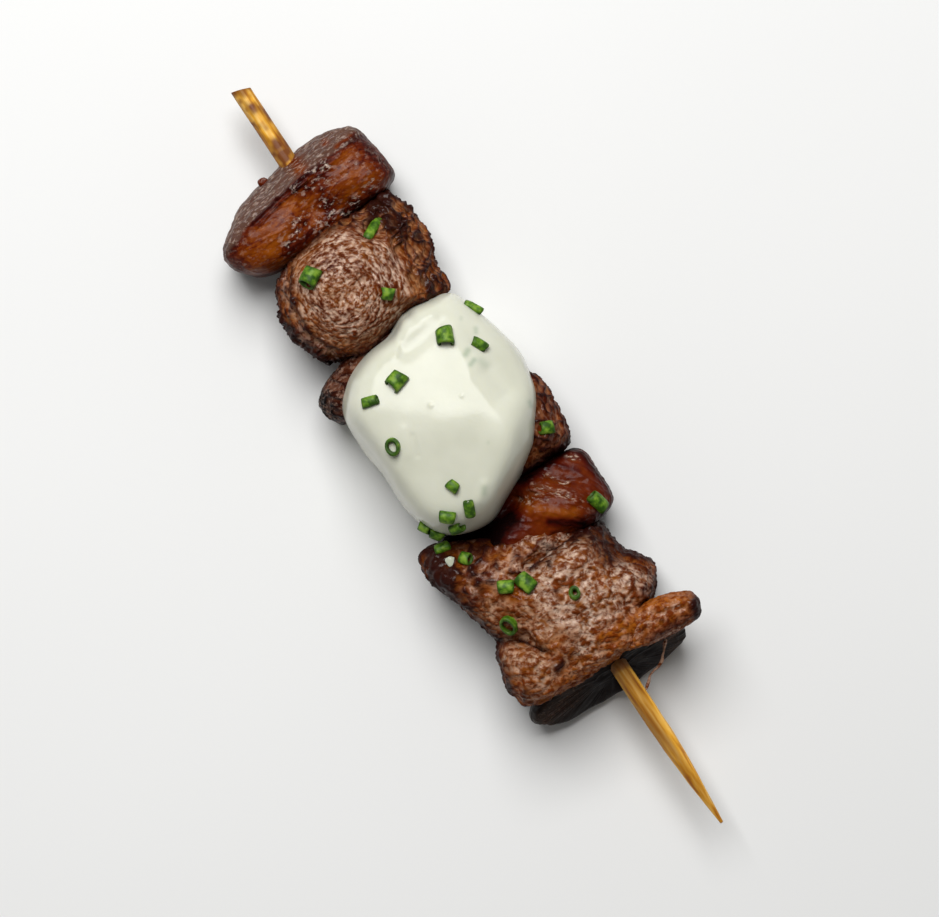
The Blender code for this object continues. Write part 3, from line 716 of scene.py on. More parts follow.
def beef_material():
    """Moist seared beef: brown fibre ends, a paler face across the grain, amber fat and a nearly black
    crust. The fibre tops carry painted glints with painted shade between them, and the nearly black
    colour also paints the shade in gaps, pits and low down.
    """
    material, tree = new_material("seared_beef", Subsurface_Weight=0.05, Subsurface_Radius=(1.0, 0.30, 0.12),
                                  Subsurface_Scale=0.0008, Specular_IOR_Level=0.05, Coat_Roughness=0.14)
    meat = toned(tree, mark_of(tree, "tone"), [
        (0.0, (0.024, 0.002, 0.001)), (0.30, (0.092, 0.014, 0.001)),
        (0.62, (0.215, 0.062, 0.007)), (1.0, (0.34, 0.145, 0.040))])
    amber = marked(tree, meat, "amber", (0.31, 0.085, 0.003))
    lit = marked(tree, amber, "pale", (0.52, 0.37, 0.28))
    fibres = added(tree, "Group", {
        "Color": amber, "Lit": lit, "Amount": 1.0, "Scale": 1500.0,
        "Place": mark_of(tree, "grain", "Vector"), "From": 0.35, "To": 0.60}, node_tree=beads)
    char_and_shade = marked(tree, fibres["Color"], "char_and_shade", (0.018, 0.002, 0.001))
    wet = added(tree, "Group", {"Color": char_and_shade, "Scale": 620.0, "Depth": 0.30}, node_tree=juices)
    link_shader(tree, Base_Color=wet["Color"],
                Roughness=ranged(tree, wet["Mask"], 0.80, 0.60),
                Coat_Weight=ranged(tree, fibres["Height"], 0.0, 0.26),
                Normal=bumped(tree, (noise_over(tree, 2600.0), 0.00004), (fibres["Height"], 0.00013)))
    return material


def drawn_in(points, middle, calm):
    """The points, so that a pattern read there runs in arcs round an upright line.

    Within the calm radius they stay. Past it only 0.42 of the radius is kept, and the rest goes
    into depth, so that the pattern is stretched round the line.
    """
    x, y, z = np.moveaxis(points, -1, 0)
    x, y = x - middle[0], y - middle[1]
    radius = np.hypot(x, y)
    beyond = np.maximum(radius - calm, 0)
    share = (np.minimum(radius, calm) + 0.42 * beyond) / np.maximum(radius, 1e-6)
    return np.stack([x * share, y * share, 0.91 * beyond - 0.8 * z], axis=-1)


# Black lines in the gaps against the first date and the sauce, along the crust and under the lower rim:
# painted shade, with dark spots of the crust itself.
FILLET_1_SHADE_AND_CHAR = [((-41.6, 10.0), (-39.4, 8.4), 1.0, 1.3), ((-40.8, 7.6), (-39.0, 5.6), 0.9, 1.3),
                 ((-38.4, 9.4), (-35.4, 9.0), 0.5, 0.6), ((-33.8, 9.8), (-32.8, 10.6), 0.5, 0.7),
                 ((-29.0, 9.6), (-28.4, 8.0), 0.4, 0.6), ((-26.6, 9.0), (-25.4, 7.6), 0.7, 0.9),
                 ((-41.2, 2.0), (-40.8, -8.0), 0.6, 0.6), ((-24.2, 1.0), (-23.2, -4.0), 0.6, 0.7),
                 ((-39.4, -8.2), (-36.0, -10.8), 0.28, 0.8), ((-36.0, -10.8), (-29.8, -11.4), 0.28, 0.7),
                 ((-29.8, -11.4), (-25.2, -9.2), 0.28, 0.8), ((-36.4, -13.6), (-30.0, -13.9), 0.4, 1.0),
                 ((-33.0, -14.0), (-24.6, -11.6), 0.6, 1.3)]
# A greyish band along the lower rim and a few spots on the crust: painted highlights.
FILLET_1_RIM_GLINTS = [((-40.3, -9.3), (-36.6, -11.8), 0.42, 1.2), ((-36.6, -11.8), (-30.0, -12.5), 0.42, 1.2),
                 ((-30.0, -12.5), (-25.2, -10.3), 0.42, 1.1), ((-31.6, 9.2), (-30.2, 7.6), 0.6, 0.5),
                 ((-40.0, 4.6), (-38.8, 1.6), 0.8, 0.5)]

beef = beef_material()
fillet_1_points = lump_points(FILLET_1)
x, y, z = np.moveaxis(fillet_1_points, -1, 0)
from_disc = np.hypot((x + 32.2) / 8.9, (y + 2.4) / 8.6) + 0.10 * lumps(fillet_1_points, 2.2, 201)
cut_face = smooth_step(1.08, 0.84, from_disc) * smooth_step(0.0, 3.0, z)
crust = 1 - smooth_step(1.14, 0.95, from_disc)
grain = drawn_in(fillet_1_points, (-32.0, -4.0), 3.0)
fibres = fibre_ends(grain, 0.75, 210)
crag = crags(fillet_1_points, 1.7, 220)
dark = streaks(fillet_1_points, FILLET_1_SHADE_AND_CHAR)
rim_glint = np.minimum(streaks(fillet_1_points, FILLET_1_RIM_GLINTS), 1)
pits = smooth_step(0.05, 0.55, lumps(fillet_1_points, 1.9, 223)) * crust
relief = (0.26 - 0.10 * crust) * (fibres - 0.5) + crust * 0.75 * (crag - 0.5)
relief += 0.35 * rim_glint - 0.3 * np.minimum(dark, 1) - 0.3 * pits
glow = lumps(fillet_1_points, 3.0, 203)
brown = 0.40 + 0.50 * fibres + 0.16 * lumps(fillet_1_points, 2.6, 202)
# The pale mark only lightens the fibre tops: the face across the grain is paler, and the tops carry painted
# glints.
pale = np.clip(0.12 + cut_face * (0.62 + 0.30 * smooth_step(-7.0, 4.0, y) + 0.35 * glow), 0, 1)
# Nearly black: the crust's charring in its cracks, and painted shade in the gaps, the pits and low down.
char_and_shade = crust * smooth_step(0.46, 0.16, crag) + dark + 0.8 * pits + smooth_step(-0.5, -5.0, z)
fillet_1 = add_lump(
    "fillet_1_meat", "fillet_1", FILLET_1, fillet_1_points, relief, beef,
    {"tone": np.clip(brown * (1 - 0.5 * crust) + crust * (0.70 * crag - 0.20), 0, 1),
     "grain": warped(grain, 1.6, 0.3, 240),
     "pale": pale * smooth_step(0.1, 0.8, fibres) + 0.30 * rim_glint,
     "amber": 0.40 * crust * smooth_step(0.0, 0.7, lumps(fillet_1_points, 2.2, 230))
              + 0.12 * smooth_step(0.3, 0.9, lumps(fillet_1_points, 3.1, 231)),
     "char_and_shade": np.clip(char_and_shade, 0, 0.95) * (1 - 0.85 * rim_glint)})

# The second date: a narrow strip squeezed between two pieces of meat. Only its lower end shows
# past the sauce, dark and folded lengthwise.

DATE_2 = {
    "grid": (220, 320), "centre": (-19.6, -2.0, -1.0),
    "outline": [(-15.4, 3.0), (-16.4, 8.6), (-19.6, 10.0), (-22.4, 7.6), (-23.6, 2.0), (-24.2, -6.0),
                (-22.8, -12.8), (-20.4, -16.2), (-17.2, -16.0), (-15.2, -13.6), (-15.0, -5.0)],
    "top": 6.2, "base": -8.0, "foot": 1.5, "squareness": 2.8,
    "relief": [(LONG_WRINKLES, 2.2, 0.4, 31)],
}

date_2_points = lump_points(DATE_2)
z = date_2_points[..., 2]
slanted = turned_points(date_2_points, -28.0)
relief = date_relief(slanted, 301, 0.30)
# Lighter on the ridges, with a painted sheen there, and darker in the folds and low down: painted light and
# shade. It is also darker along its lower end.
tone = 0.58 + 2.6 * relief - 0.9 * streaks(date_2_points, [((-21.0, -15.9), (-17.0, -16.2), 1.2, 1.0)])
tone -= 0.35 * smooth_step(1.0, -4.0, z)
dark_date_skin = date_material(
    "dark_date_skin",
    [(0.0, (0.004, 0.001, 0.001)), (0.5, (0.040, 0.007, 0.002)), (1.0, (0.15, 0.048, 0.020))],
    bloom_and_sheen=(0.14, 0.075, 0.05), glints=(0.30, 0.18, 0.13), gloss=0.12)
add_lump(
    "date_2_skin", "date_2", DATE_2, date_2_points, relief, dark_date_skin,
    {"tone": np.clip(tone, 0, 1), "bloom_and_sheen": 0.35 * smooth_step(0.0, 0.10, relief),
     "grain": slanted * (1.0, 0.6, 1.0), "beaded": 0.5}, clear_of=FILLET_1)

# The second piece of fillet: hidden by the sauce but for one seared corner.

FILLET_2 = {
    "grid": (230, 340), "centre": (-4.4, 1.0, -0.4),
    "outline": [(5.8, 2.0), (6.0, 9.0), (5.6, 12.8), (1.0, 13.6), (-4.8, 13.8), (-9.0, 10.6), (-11.8, 6.0),
                (-12.6, 0.0), (-11.4, -7.0), (-6.0, -11.0), (2.0, -11.0), (5.2, -6.0)],
    "top": 9.0, "base": -8.6, "foot": 1.5, "squareness": 3.4,
    "folds": [((0.0, 12.0), (4.0, 9.5), 2.2, 0.8)],
    "relief": [(EVEN, 4.8, 0.5, 41), (EVEN, 2.6, 0.3, 42)],
}

fillet_2_points = lump_points(FILLET_2)
z = fillet_2_points[..., 2]
grain = turned_points(fillet_2_points, -35.0) * (0.4, 1.0, 1.0)
fibres = fibre_ends(grain, 1.0, 410)
crag = crags(fillet_2_points, 2.2, 420)
relief = 0.22 * (fibres - 0.5) + 0.55 * (crag - 0.5)
# Nearly black in the crust's cracks, low down and in the gap against the third date: charring and painted
# shade.
char_and_shade = smooth_step(0.45, 0.15, crag) + smooth_step(0.0, -5.0, z)
char_and_shade += streaks(fillet_2_points, [((5.8, 13.0), (6.2, 4.0), 0.9, 1.0)])
fat = smooth_step(0.1, 0.7, lumps(fillet_2_points, 2.4, 431)) * smooth_step(0.3, 0.7, crag)
fillet_2 = add_lump(
    "fillet_2_meat", "fillet_2", FILLET_2, fillet_2_points, relief, beef,
    {"tone": np.clip(0.08 + 0.24 * fibres + 0.30 * crag, 0, 1), "grain": grain, "pale": 0.10 * crag,
     "amber": 0.50 * fat, "char_and_shade": np.clip(char_and_shade, 0, 0.95)})

# The third date: a thick glossy slab with slanted ridges. It is split by a deep crease next to
# the sauce, painted dark, and leans on the last piece of meat.

DATE_3 = {
    "grid": (250, 340), "centre": (11.6, 0.4, -0.6),
    "outline": [(18.3, 6.0), (18.4, 10.2), (16.5, 13.8), (11.0, 13.7), (7.2, 12.8), (6.2, 7.0), (6.2, -4.0),
                (7.4, -12.4), (10.6, -15.4), (14.4, -13.0), (16.8, -4.0)],
    "top": 7.8, "base": -8.0, "foot": 1.5, "squareness": 3.0,
    "cuts": [((-0.35, 0.15, 0.92), 7.6)],
    "folds": [((8.6, 4.0), (13.4, 8.4), 1.1, 0.9), ((10.2, 1.0), (16.0, 8.0), 1.6, 0.7),
              ((8.0, 7.4), (12.0, 10.6), 0.9, -0.6), ((8.4, 0.5), (11.2, -9.0), 1.6, -3.0),
              ((9.4, -9.0), (12.0, -15.0), 3.6, -4.5)],
    "relief": [((0.75, 0.75, 0.6), 3.4, 0.35, 51), (EVEN, 5.5, 0.25, 52)],
}
DATE_3_SLANT_DEG = 42.0
# Dark lines in the crease and along the slab's edges, beside the sauce and the meat: painted shade.
DATE_3_SHADE = [((10.6, -1.5), (11.4, -11.0), 1.9, 1.0), ((6.4, 12.4), (6.9, 3.0), 0.9, 0.8),
               ((7.0, 12.9), (16.4, 13.9), 0.8, 0.6), ((17.6, 12.0), (18.4, 7.0), 0.9, 0.7),
               ((8.2, 9.6), (10.2, 11.2), 0.5, 0.35), ((14.2, 3.2), (17.2, 7.4), 0.6, 0.8)]
DATE_3_GLINTS = [((7.6, 11.2), (8.4, 12.0), 0.45, 1.0), ((8.0, 6.6), (10.8, 8.7), 0.45, 0.8),
                 ((8.3, 4.5), (12.8, 8.0), 0.55, 0.9), ((9.0, 2.9), (11.0, 4.7), 0.5, 0.7),
                 ((8.6, 1.2), (10.4, 2.6), 0.5, 0.6), ((14.0, 8.6), (16.0, 11.0), 1.4, 0.2)]
DATE_3_RIDGES = [((8.0, 6.6), (10.8, 8.7), 0.42, 0.30), ((8.3, 4.5), (12.8, 8.0), 0.45, 0.34),
                 ((9.0, 3.2), (10.2, 4.4), 0.4, 0.26), ((8.8, 1.2), (10.0, 2.4), 0.4, 0.24),
                 ((7.6, 11.2), (8.4, 11.9), 0.45, 0.25)]

date_3_points = lump_points(DATE_3)
_, y, z = np.moveaxis(date_3_points, -1, 0)
slanted = turned_points(date_3_points, DATE_3_SLANT_DEG)
relief = date_relief(slanted, 501, 0.15, (0.22, 1.0, 0.9)) + streaks(date_3_points, DATE_3_RIDGES)
relief += 0.07 * crinkle(date_3_points, 0.8, 504)
# Lighter on the ridges and along one broad ridge, with a painted sheen there, and darker in the hollows and
# low down: painted light and shade. It is also darker towards the near end.
tone = 0.62 + 1.0 * relief - 0.75 * streaks(date_3_points, DATE_3_SHADE) - 0.4 * smooth_step(1.0, -4.0, z)
tone -= 0.8 * smooth_step(-3.0, -7.0, y)
tone += 0.30 * streaks(date_3_points, [((10.6, 1.6), (15.2, 6.6), 1.5, 1.0)])
red_date_skin = date_material(
    "red_date_skin", [(0.0, (0.006, 0.001, 0.001)), (0.40, (0.060, 0.004, 0.001)),
                      (0.72, (0.125, 0.018, 0.001)), (1.0, (0.215, 0.052, 0.002))],
    bloom_and_sheen=(0.12, 0.05, 0.03), glints=(0.58, 0.43, 0.33), gloss=0.09)
date_3 = add_lump(
    "date_3_skin", "date_3", DATE_3, date_3_points, relief, red_date_skin,
    {"tone": np.clip(tone, 0, 1), "bloom_and_sheen": 0.3 * smooth_step(0.12, 0.30, relief),
     "grain": slanted * (0.5, 1.0, 1.0),
     "beaded": np.clip(streaks(date_3_points, DATE_3_GLINTS), 0, 1)}, clear_of=FILLET_2)

# The last piece of fillet: the largest, with a broad pale top, a lump at its far side, a split in
# its near side, and darker ridged meat that slopes down to the third date.

FILLET_3 = {
    "grid": (280, 350), "centre": (25.0, -2.4, 0.4),
    "outline": [(37.2, 0.0), (37.2, 5.0), (36.0, 8.2), (33.0, 8.4), (32.2, 10.2), (30.4, 12.2),
                (28.5, 13.2), (26.6, 11.8), (24.4, 10.0), (21.6, 9.8), (18.9, 9.7), (16.9, 5.0),
                (14.0, 1.0), (11.9, -5.0), (9.2, -11.0), (8.0, -15.0), (10.4, -16.8), (15.0, -15.9),
                (20.5, -14.5), (25.2, -13.2), (28.0, -15.0), (32.6, -15.8), (36.2, -14.6), (37.2, -8.0)],
    "top": 10.4, "base": -9.0, "foot": 1.5, "squareness": 3.6,
    "cuts": [((-0.58, 0.08, 0.81), 13.7), ((0.0, 0.72, 0.69), 14.8), ((-0.30, 0.80, 0.52), 12.6)],
    "folds": [((17.9, 5.0), (18.6, -3.0), 1.1, -2.2), ((13.8, -1.5), (16.6, 4.6), 1.4, 1.0),
              ((24.0, 7.4), (32.4, 6.6), 1.4, -1.3), ((25.4, -12.6), (27.0, -10.3), 1.2, -2.6),
              ((27.0, -10.3), (30.2, -8.2), 0.9, -1.6), ((30.4, -12.0), (33.0, -12.0), 2.6, 0.9),
              ((24.0, -4.5), (26.0, 1.0), 4.5, 0.7), ((36.1, -11.0), (36.1, 3.0), 1.1, 1.0)],
    "relief": [(EVEN, 5.0, 0.5, 61), (EVEN, 2.7, 0.35, 62)],
}
# Dark lines and patches in the split, the grooves, the cracks and the gap at the third date, along the lower
# edges and at the near tip: painted shade, with the charring of the crust.
FILLET_3_SHADE_AND_CHAR = [((18.3, 5.4), (18.6, -3.0), 0.6, 0.9), ((18.2, 7.6), (23.4, 8.6), 2.0, 1.35),
                 ((18.4, 6.6), (19.0, 4.6), 0.8, 0.8), ((25.2, -13.2), (27.0, -10.2), 0.5, 1.2),
                 ((27.0, -10.2), (30.2, -8.1), 0.4, 1.0), ((33.0, -7.0), (33.1, -8.0), 0.6, 1.0),
                 ((13.2, -10.6), (17.0, -11.1), 0.5, 1.0), ((19.6, -0.3), (19.7, -0.4), 0.45, 1.2),
                 ((23.2, -1.8), (23.8, -1.1), 0.3, 0.7), ((11.6, -4.6), (12.4, -9.4), 0.9, 1.0),
                 ((9.0, -13.2), (13.4, -14.6), 1.8, 1.3), ((8.2, -14.8), (14.0, -16.4), 1.3, 1.2),
                 ((9.6, -11.4), (11.4, -7.8), 1.1, 0.8), ((13.0, -15.2), (25.0, -12.9), 0.6, 1.0),
                 ((25.6, -14.0), (33.0, -15.6), 0.7, 0.9), ((31.0, 12.4), (33.0, 8.4), 0.7, 0.8),
                 ((25.0, 10.6), (27.4, 12.9), 0.8, 0.7), ((24.0, -14.0), (24.4, -9.8), 0.5, 0.4),
                 ((33.0, -13.6), (34.6, -14.8), 0.6, 0.6), ((26.4, 11.0), (30.4, 10.6), 1.6, 0.22),
                 ((31.2, -10.6), (33.4, -10.8), 0.35, 0.5), ((13.5, -4.4), (14.6, -6.8), 0.4, 0.6)]
# Painted highlights: glints on the ridges of the slope to the third date and on the lump, and lit patches on
# the top. They lighten the tone and the pale mark.
FILLET_3_HIGHLIGHTS = [((18.9, 3.2), (24.6, 3.0), 1.5, 0.45), ((25.0, 6.4), (28.6, 6.9), 0.5, 0.6),
                  ((26.2, 8.9), (26.4, 9.0), 0.5, 0.9), ((13.6, -2.4), (17.4, 5.4), 1.0, 0.9),
                  ((20.4, 4.4), (29.0, 6.8), 0.8, 0.6), ((14.6, -12.0), (17.6, -12.4), 0.45, 0.9),
                  ((26.6, 8.6), (30.6, 10.6), 1.4, 0.5), ((20.0, -2.0), (28.0, 1.5), 4.5, 0.55),
                  ((28.0, -12.6), (32.0, -12.0), 2.0, 0.5)]
# Amber patches of seared meat; the first line, along the block's right rim, is a painted rim highlight.
FILLET_3_AMBER = [((36.7, -13.0), (37.0, 3.0), 1.0, 1.1), ((33.6, 6.4), (35.6, 2.0), 2.6, 0.45),
                  ((12.6, -4.0), (16.8, -7.4), 1.6, 0.5), ((22.6, -2.0), (24.0, -1.0), 0.7, 0.6),
                  ((24.4, 4.6), (26.2, 5.2), 0.8, 0.5), ((34.4, -14.4), (31.0, -13.8), 1.0, 0.5)]
FILLET_3_CALM = [((24.5, -4.2), (29.5, -3.4), 2.4, 0.6), ((14.4, -8.4), (17.6, -9.4), 1.5, 0.8)]

fillet_3_points = lump_points(FILLET_3)
x, y, z = np.moveaxis(fillet_3_points, -1, 0)
wander = lumps(fillet_3_points, 2.6, 601)
top_face = smooth_step(17.6, 19.6, x + 0.7 * wander)
top_face *= smooth_step(9.0, 6.6, y + wander)
top_face *= smooth_step(4.0, 7.5, z)
grain = turned_points(fillet_3_points, 62.0) * (0.86, 1.0, 1.0)
calm = streaks(fillet_3_points, FILLET_3_CALM)
fibres = fibre_ends(grain, 0.95, 610) * (1 - calm) + 0.62 * calm
crag = crags(fillet_3_points * (1.0, 0.8, 1.0), 2.4, 620)
dark, light = streaks(fillet_3_points, FILLET_3_SHADE_AND_CHAR), streaks(fillet_3_points, FILLET_3_HIGHLIGHTS)
patches = lumps(fillet_3_points, 3.4, 605) + 0.6 * lumps(fillet_3_points, 1.5, 606)
relief = 0.26 * (fibres - 0.5) + (0.62 - 0.40 * top_face) * (crag - 0.5) - 0.35 * np.minimum(dark, 1)
brown = (0.42 + 0.48 * fibres + 0.12 * wander + 0.14 * patches) * (0.55 + 0.45 * top_face)
brown += (1 - top_face) * 0.35 * (crag - 0.4) + 0.12 * light
pale = np.clip(0.18 + 0.36 * top_face + 0.55 * patches + light - 0.3 * smooth_step(34.6, 36.2, x), 0, 1)
amber = streaks(fillet_3_points, FILLET_3_AMBER) + 0.26 * smooth_step(30.0, 34.0, x - wander)
amber += 0.45 * smooth_step(0.2, 0.8, -patches)
# Nearly black: the crust's charring in its cracks, with painted shade along the dark lines and low down.
char_and_shade = (1 - top_face) * (1 - np.minimum(light, 1)) * smooth_step(0.36, 0.10, crag) * 0.8
char_and_shade += dark * (0.60 + 0.7 * smooth_step(0.7, 0.3, crag)) + smooth_step(-0.5, -5.0, z)
fillet_3 = add_lump(
    "fillet_3_meat", "fillet_3", FILLET_3, fillet_3_points, relief, beef,
    {"tone": np.clip(brown, 0, 1), "grain": 0.76 * warped(grain, 1.6, 0.3, 640),
     "pale": pale * smooth_step(0.1, 0.8, fibres) * (1 - 0.35 * smooth_step(-3.0, -9.0, y)),
     "amber": np.clip(amber, 0, 0.85), "char_and_shade": np.clip(char_and_shade, 0, 0.95)})

# The flap: a strip of the same meat that curled up and out as it seared, with a burnt tip.

FLAP_3 = {
    "grid": (190, 190), "centre": (35.7, 8.2, 6.0),
    "outline": [(38.8, 9.2), (38.9, 12.2), (38.2, 14.3), (36.7, 15.5), (35.2, 15.2), (33.7, 13.2),
                (32.8, 10.6), (32.6, 8.0), (32.9, 5.0), (34.0, 2.0), (36.4, 1.0), (37.8, 4.6)],
    "top": 10.2, "base": 2.8, "foot": 0.4, "squareness": 3.2,
    "cuts": [((0.50, 0.0, 0.87), 3.6), ((-0.10, -0.32, 0.94), 3.5)],
    "folds": [((37.8, 13.6), (36.4, 14.4), 0.9, 0.5), ((35.6, 12.6), (35.0, 9.0), 0.9, -0.5)],
    "relief": [(EVEN, 2.6, 0.25, 71)],
}

FLAP_BURNT = ((36.6, 14.9), (39.2, 13.9), 0.8, 1.5)
# The burnt tip, and painted shade down the flap's right edge and in its creases.
FLAP_BURNT_AND_SHADE = [((36.6, 14.8), (39.0, 14.0), 0.8, 1.4), ((37.7, 12.4), (37.2, 6.0), 0.75, 0.8),
             ((35.4, 12.8), (34.6, 10.4), 0.3, 0.6), ((35.2, 7.6), (35.4, 6.0), 0.4, 0.4),
             ((34.4, 14.6), (35.6, 15.6), 0.4, 0.6), ((36.4, 9.8), (35.4, 8.6), 0.3, 0.6)]
# Painted highlights on the flap's rim and on the lit ridges towards the blunt end.
FLAP_HIGHLIGHTS = [((38.6, 11.0), (38.5, 5.0), 0.35, 1.0), ((34.4, 8.0), (35.6, 3.6), 0.9, 0.6),
              ((35.6, 12.6), (35.2, 10.2), 0.7, 0.5)]

flap_points = lump_points(FLAP_3, bored=False, end_axis=1)
x, y, z = np.moveaxis(flap_points, -1, 0)
grain = flap_points * (1.0, 0.65, 1.0)
fibres = fibre_ends(grain, 0.85, 710)
dark, light = streaks(flap_points, FLAP_BURNT_AND_SHADE), streaks(flap_points, FLAP_HIGHLIGHTS)
# Lighter and more orange towards the blunt end, which faces the softbox: painted light. Low down it is
# nearly black, as painted shade.
amber = 0.50 + 0.45 * smooth_step(36.5, 33.6, x) * smooth_step(3.0, 8.0, y) - 0.5 * dark
add_lump(
    "fillet_3_flap", None, FLAP_3, flap_points, 0.24 * (fibres - 0.5) - 0.35 * dark, beef,
    {"tone": np.clip(0.24 + 0.48 * fibres - 0.45 * dark + 0.16 * smooth_step(36.2, 34.0, x), 0, 1),
     "grain": grain, "amber": np.clip(amber, 0, 1),
     "pale": np.clip(0.10 + light, 0, 0.9) * smooth_step(0.2, 0.8, fibres),
     "char_and_shade": np.clip(streaks(flap_points, [FLAP_BURNT]) + smooth_step(6.0, 3.4, z), 0, 0.95)}, bored=False)

# The last date: small and nearly black, its burnt skin darkened further by painted shade. It
# slopes away steeply below the stick, and leaves the stick bare where it comes out of the meat.

DATE_4 = {
    "grid": (200, 320), "centre": (38.6, -2.6, -3.0),
    "outline": [(42.8, 1.0), (42.4, 7.0), (40.8, 11.2), (37.6, 11.0), (35.2, 7.0), (34.4, -2.0),
                (34.8, -10.0), (36.8, -14.8), (39.6, -15.4), (41.8, -12.0), (42.8, -5.0)],
    "top": 2.6, "base": -8.5, "foot": 1.5, "squareness": 3.0,
    "cuts": [((0.85, 0.0, 0.52), 1.62)],
    "relief": [(LONG_WRINKLES, 2.4, 0.35, 81)],
}

# Patches where the date catches the light get a lighter tone, a sheen and glints, and the wrinkles' ridges
# are lighter: painted light.
DATE_4_LIT = [((39.4, 10.8), (39.8, 8.2), 0.5, 1.2), ((41.2, 10.4), (41.8, 8.0), 0.7, 0.5),
              ((37.6, -7.6), (39.4, -14.0), 1.7, 0.8), ((39.8, -8.4), (40.6, -12.0), 0.5, 0.4)]

date_4_points = lump_points(DATE_4)
relief = date_relief(date_4_points, 801, 0.16)
lit = streaks(date_4_points, DATE_4_LIT) * (0.8 + 0.5 * lumps(date_4_points, 1.3, 802))
burnt_and_shaded_date_skin = date_material(
    "burnt_and_shaded_date_skin",
    [(0.0, (0.003, 0.001, 0.001)), (0.5, (0.012, 0.004, 0.002)), (1.0, (0.085, 0.036, 0.020))],
    bloom_and_sheen=(0.13, 0.09, 0.065), glints=(0.12, 0.07, 0.05), gloss=0.03)
add_lump(
    "date_4_skin", "date_4", DATE_4, date_4_points, relief, burnt_and_shaded_date_skin,
    {"tone": np.clip(0.14 + 0.5 * relief + 0.6 * lit, 0, 1), "bloom_and_sheen": np.clip(0.35 * lit, 0, 1),
     "grain": date_4_points, "beaded": np.clip(0.7 * lit, 0, 1)}, clear_of=FILLET_3)

# The sauce: one spoonful of thick herbed cream, slumped over the middle of the skewer. Its crown
# tilts towards the blunt end, a lower shoulder stands in front of it, and its foot is folded.

DOLLOP = {
    "grid": (300, 320), "centre": (-7.6, -0.4, 2.6),
    "outline": [(9.8, -4.6), (8.2, 0.0), (5.2, 5.6), (1.4, 9.6), (-4.6, 13.2), (-11.0, 13.7), (-17.8, 12.5),
                (-22.8, 10.4), (-24.6, 6.0), (-25.0, 2.0), (-23.4, -1.6), (-22.5, -6.4), (-20.2, -11.4),
                (-15.8, -14.6), (-6.0, -14.6), (4.0, -13.9), (8.2, -10.4)],
    "top": 20.4, "base": -9.0, "foot": 6.0, "squareness": 2.9, "edge": 22.0,
    "cuts": [((-0.22, 0.06, 0.974), 13.8), ((0.04, -0.16, 0.985), 14.5), ((-0.16, 0.66, 0.730), 15.0)],
    "folds": [((-20.9, 6.3), (-20.3, -0.6), 1.9, -1.0), ((-23.0, -0.6), (-20.4, -2.6), 0.5, 0.35),
              ((-9.8, 8.2), (-6.0, 8.8), 1.8, -0.9)],
    "relief": [(EVEN, 9.0, 0.30, 91)],
}
DOLLOP_FOLDS = [((-8.0, -7.0), (-5.2, -8.0), 0.45, 0.12), ((-9.4, -7.6), (-6.0, -9.0), 0.8, -0.10),
                ((-9.0, 2.4), (-9.0, 2.5), 0.28, -0.12), ((-10.4, -2.1), (-10.3, -2.2), 0.34, -0.14),
                ((-24.2, 2.4), (-23.0, 2.6), 0.9, 0.30), ((4.0, -2.0), (5.4, -4.0), 0.8, -0.22)]
DOLLOP_HERBS = [((-14.2, 7.0), (-13.9, 6.4), 0.5, 0.55), ((-12.5, 7.0), (-12.2, 6.2), 0.4, 0.5),
                ((-11.8, 7.8), (-11.0, 8.0), 0.7, 0.25), ((-16.4, 9.9), (-15.9, 9.6), 0.4, 0.4),
                ((-2.6, 10.6), (-2.0, 10.4), 0.4, 0.4), ((4.4, -2.3), (5.0, -2.7), 0.5, 0.35),
                ((-19.0, 9.0), (-18.8, 8.8), 0.3, 0.2), ((-1.0, 2.0), (-0.9, 1.9), 0.25, 0.2)]


def sauce_material():
    """Thick herbed cream: ivory with a green cast, slightly see-through, with a wet skin."""
    material, tree = new_material("herb_cream", Subsurface_Weight=0.30, Subsurface_Radius=(1.0, 0.9, 0.6),
                                  Subsurface_Scale=0.0012, Specular_IOR_Level=0.21)
    drift = noise_over(tree, 160.0, detail=2.0)
    cream = toned(tree, drift, [(0.35, (0.545, 0.547, 0.447)), (0.70, (0.595, 0.597, 0.497))])
    link_shader(tree, Base_Color=marked(tree, cream, "herb", (0.22, 0.30, 0.20)),
                Roughness=ranged(tree, drift, 0.14, 0.24),
                Normal=bumped(tree, (noise_over(tree, 900.0), 0.00002)))
    return material


dollop_points = lump_points(DOLLOP)
x, y, z = np.moveaxis(dollop_points, -1, 0)
sides = smooth_step(13.0, 6.0, z) * smooth_step(-9.0, -6.0, z)
sags = sides * (0.25 + 0.30 * lumps(dollop_points * (1.0, 1.0, 0.35), 5.0, 95))
pinched = np.exp(-(((z - 1.6) / 1.7) ** 2)) * smooth_step(-9.5, -12.5, y) * smooth_step(-18.0, -13.5, x)
dollop_points[..., 1] += 1.25 * pinched * smooth_step(6.0, 1.0, x)
slumped = (1 - 0.06 * smooth_step(2.0, 16.0, z))[..., None]
middle = DOLLOP["centre"][:2]
dollop_points[..., :2] = middle + slumped * (dollop_points[..., :2] - middle)
folds = smooth_step(-7.5, -4.0, z) * streaks(dollop_points, DOLLOP_FOLDS)
dollop = add_lump("sauce_dollop", "dollop", DOLLOP, dollop_points, sags + folds, sauce_material(),
                  {"herb": np.clip(streaks(dollop_points, DOLLOP_HERBS), 0, 0.6)})

# The chives: hollow green stems snipped short. Each lies or stands where it fell, pressed a
# little into the sauce or the meat.

CHIVE_WALL = 0.34
STANDING_WALL = 0.60
STANDING_LIFT = 0.15
LYING_LIFT = 0.20
CHIVE_SIDES = 20
CHIVE_STEPS = 7
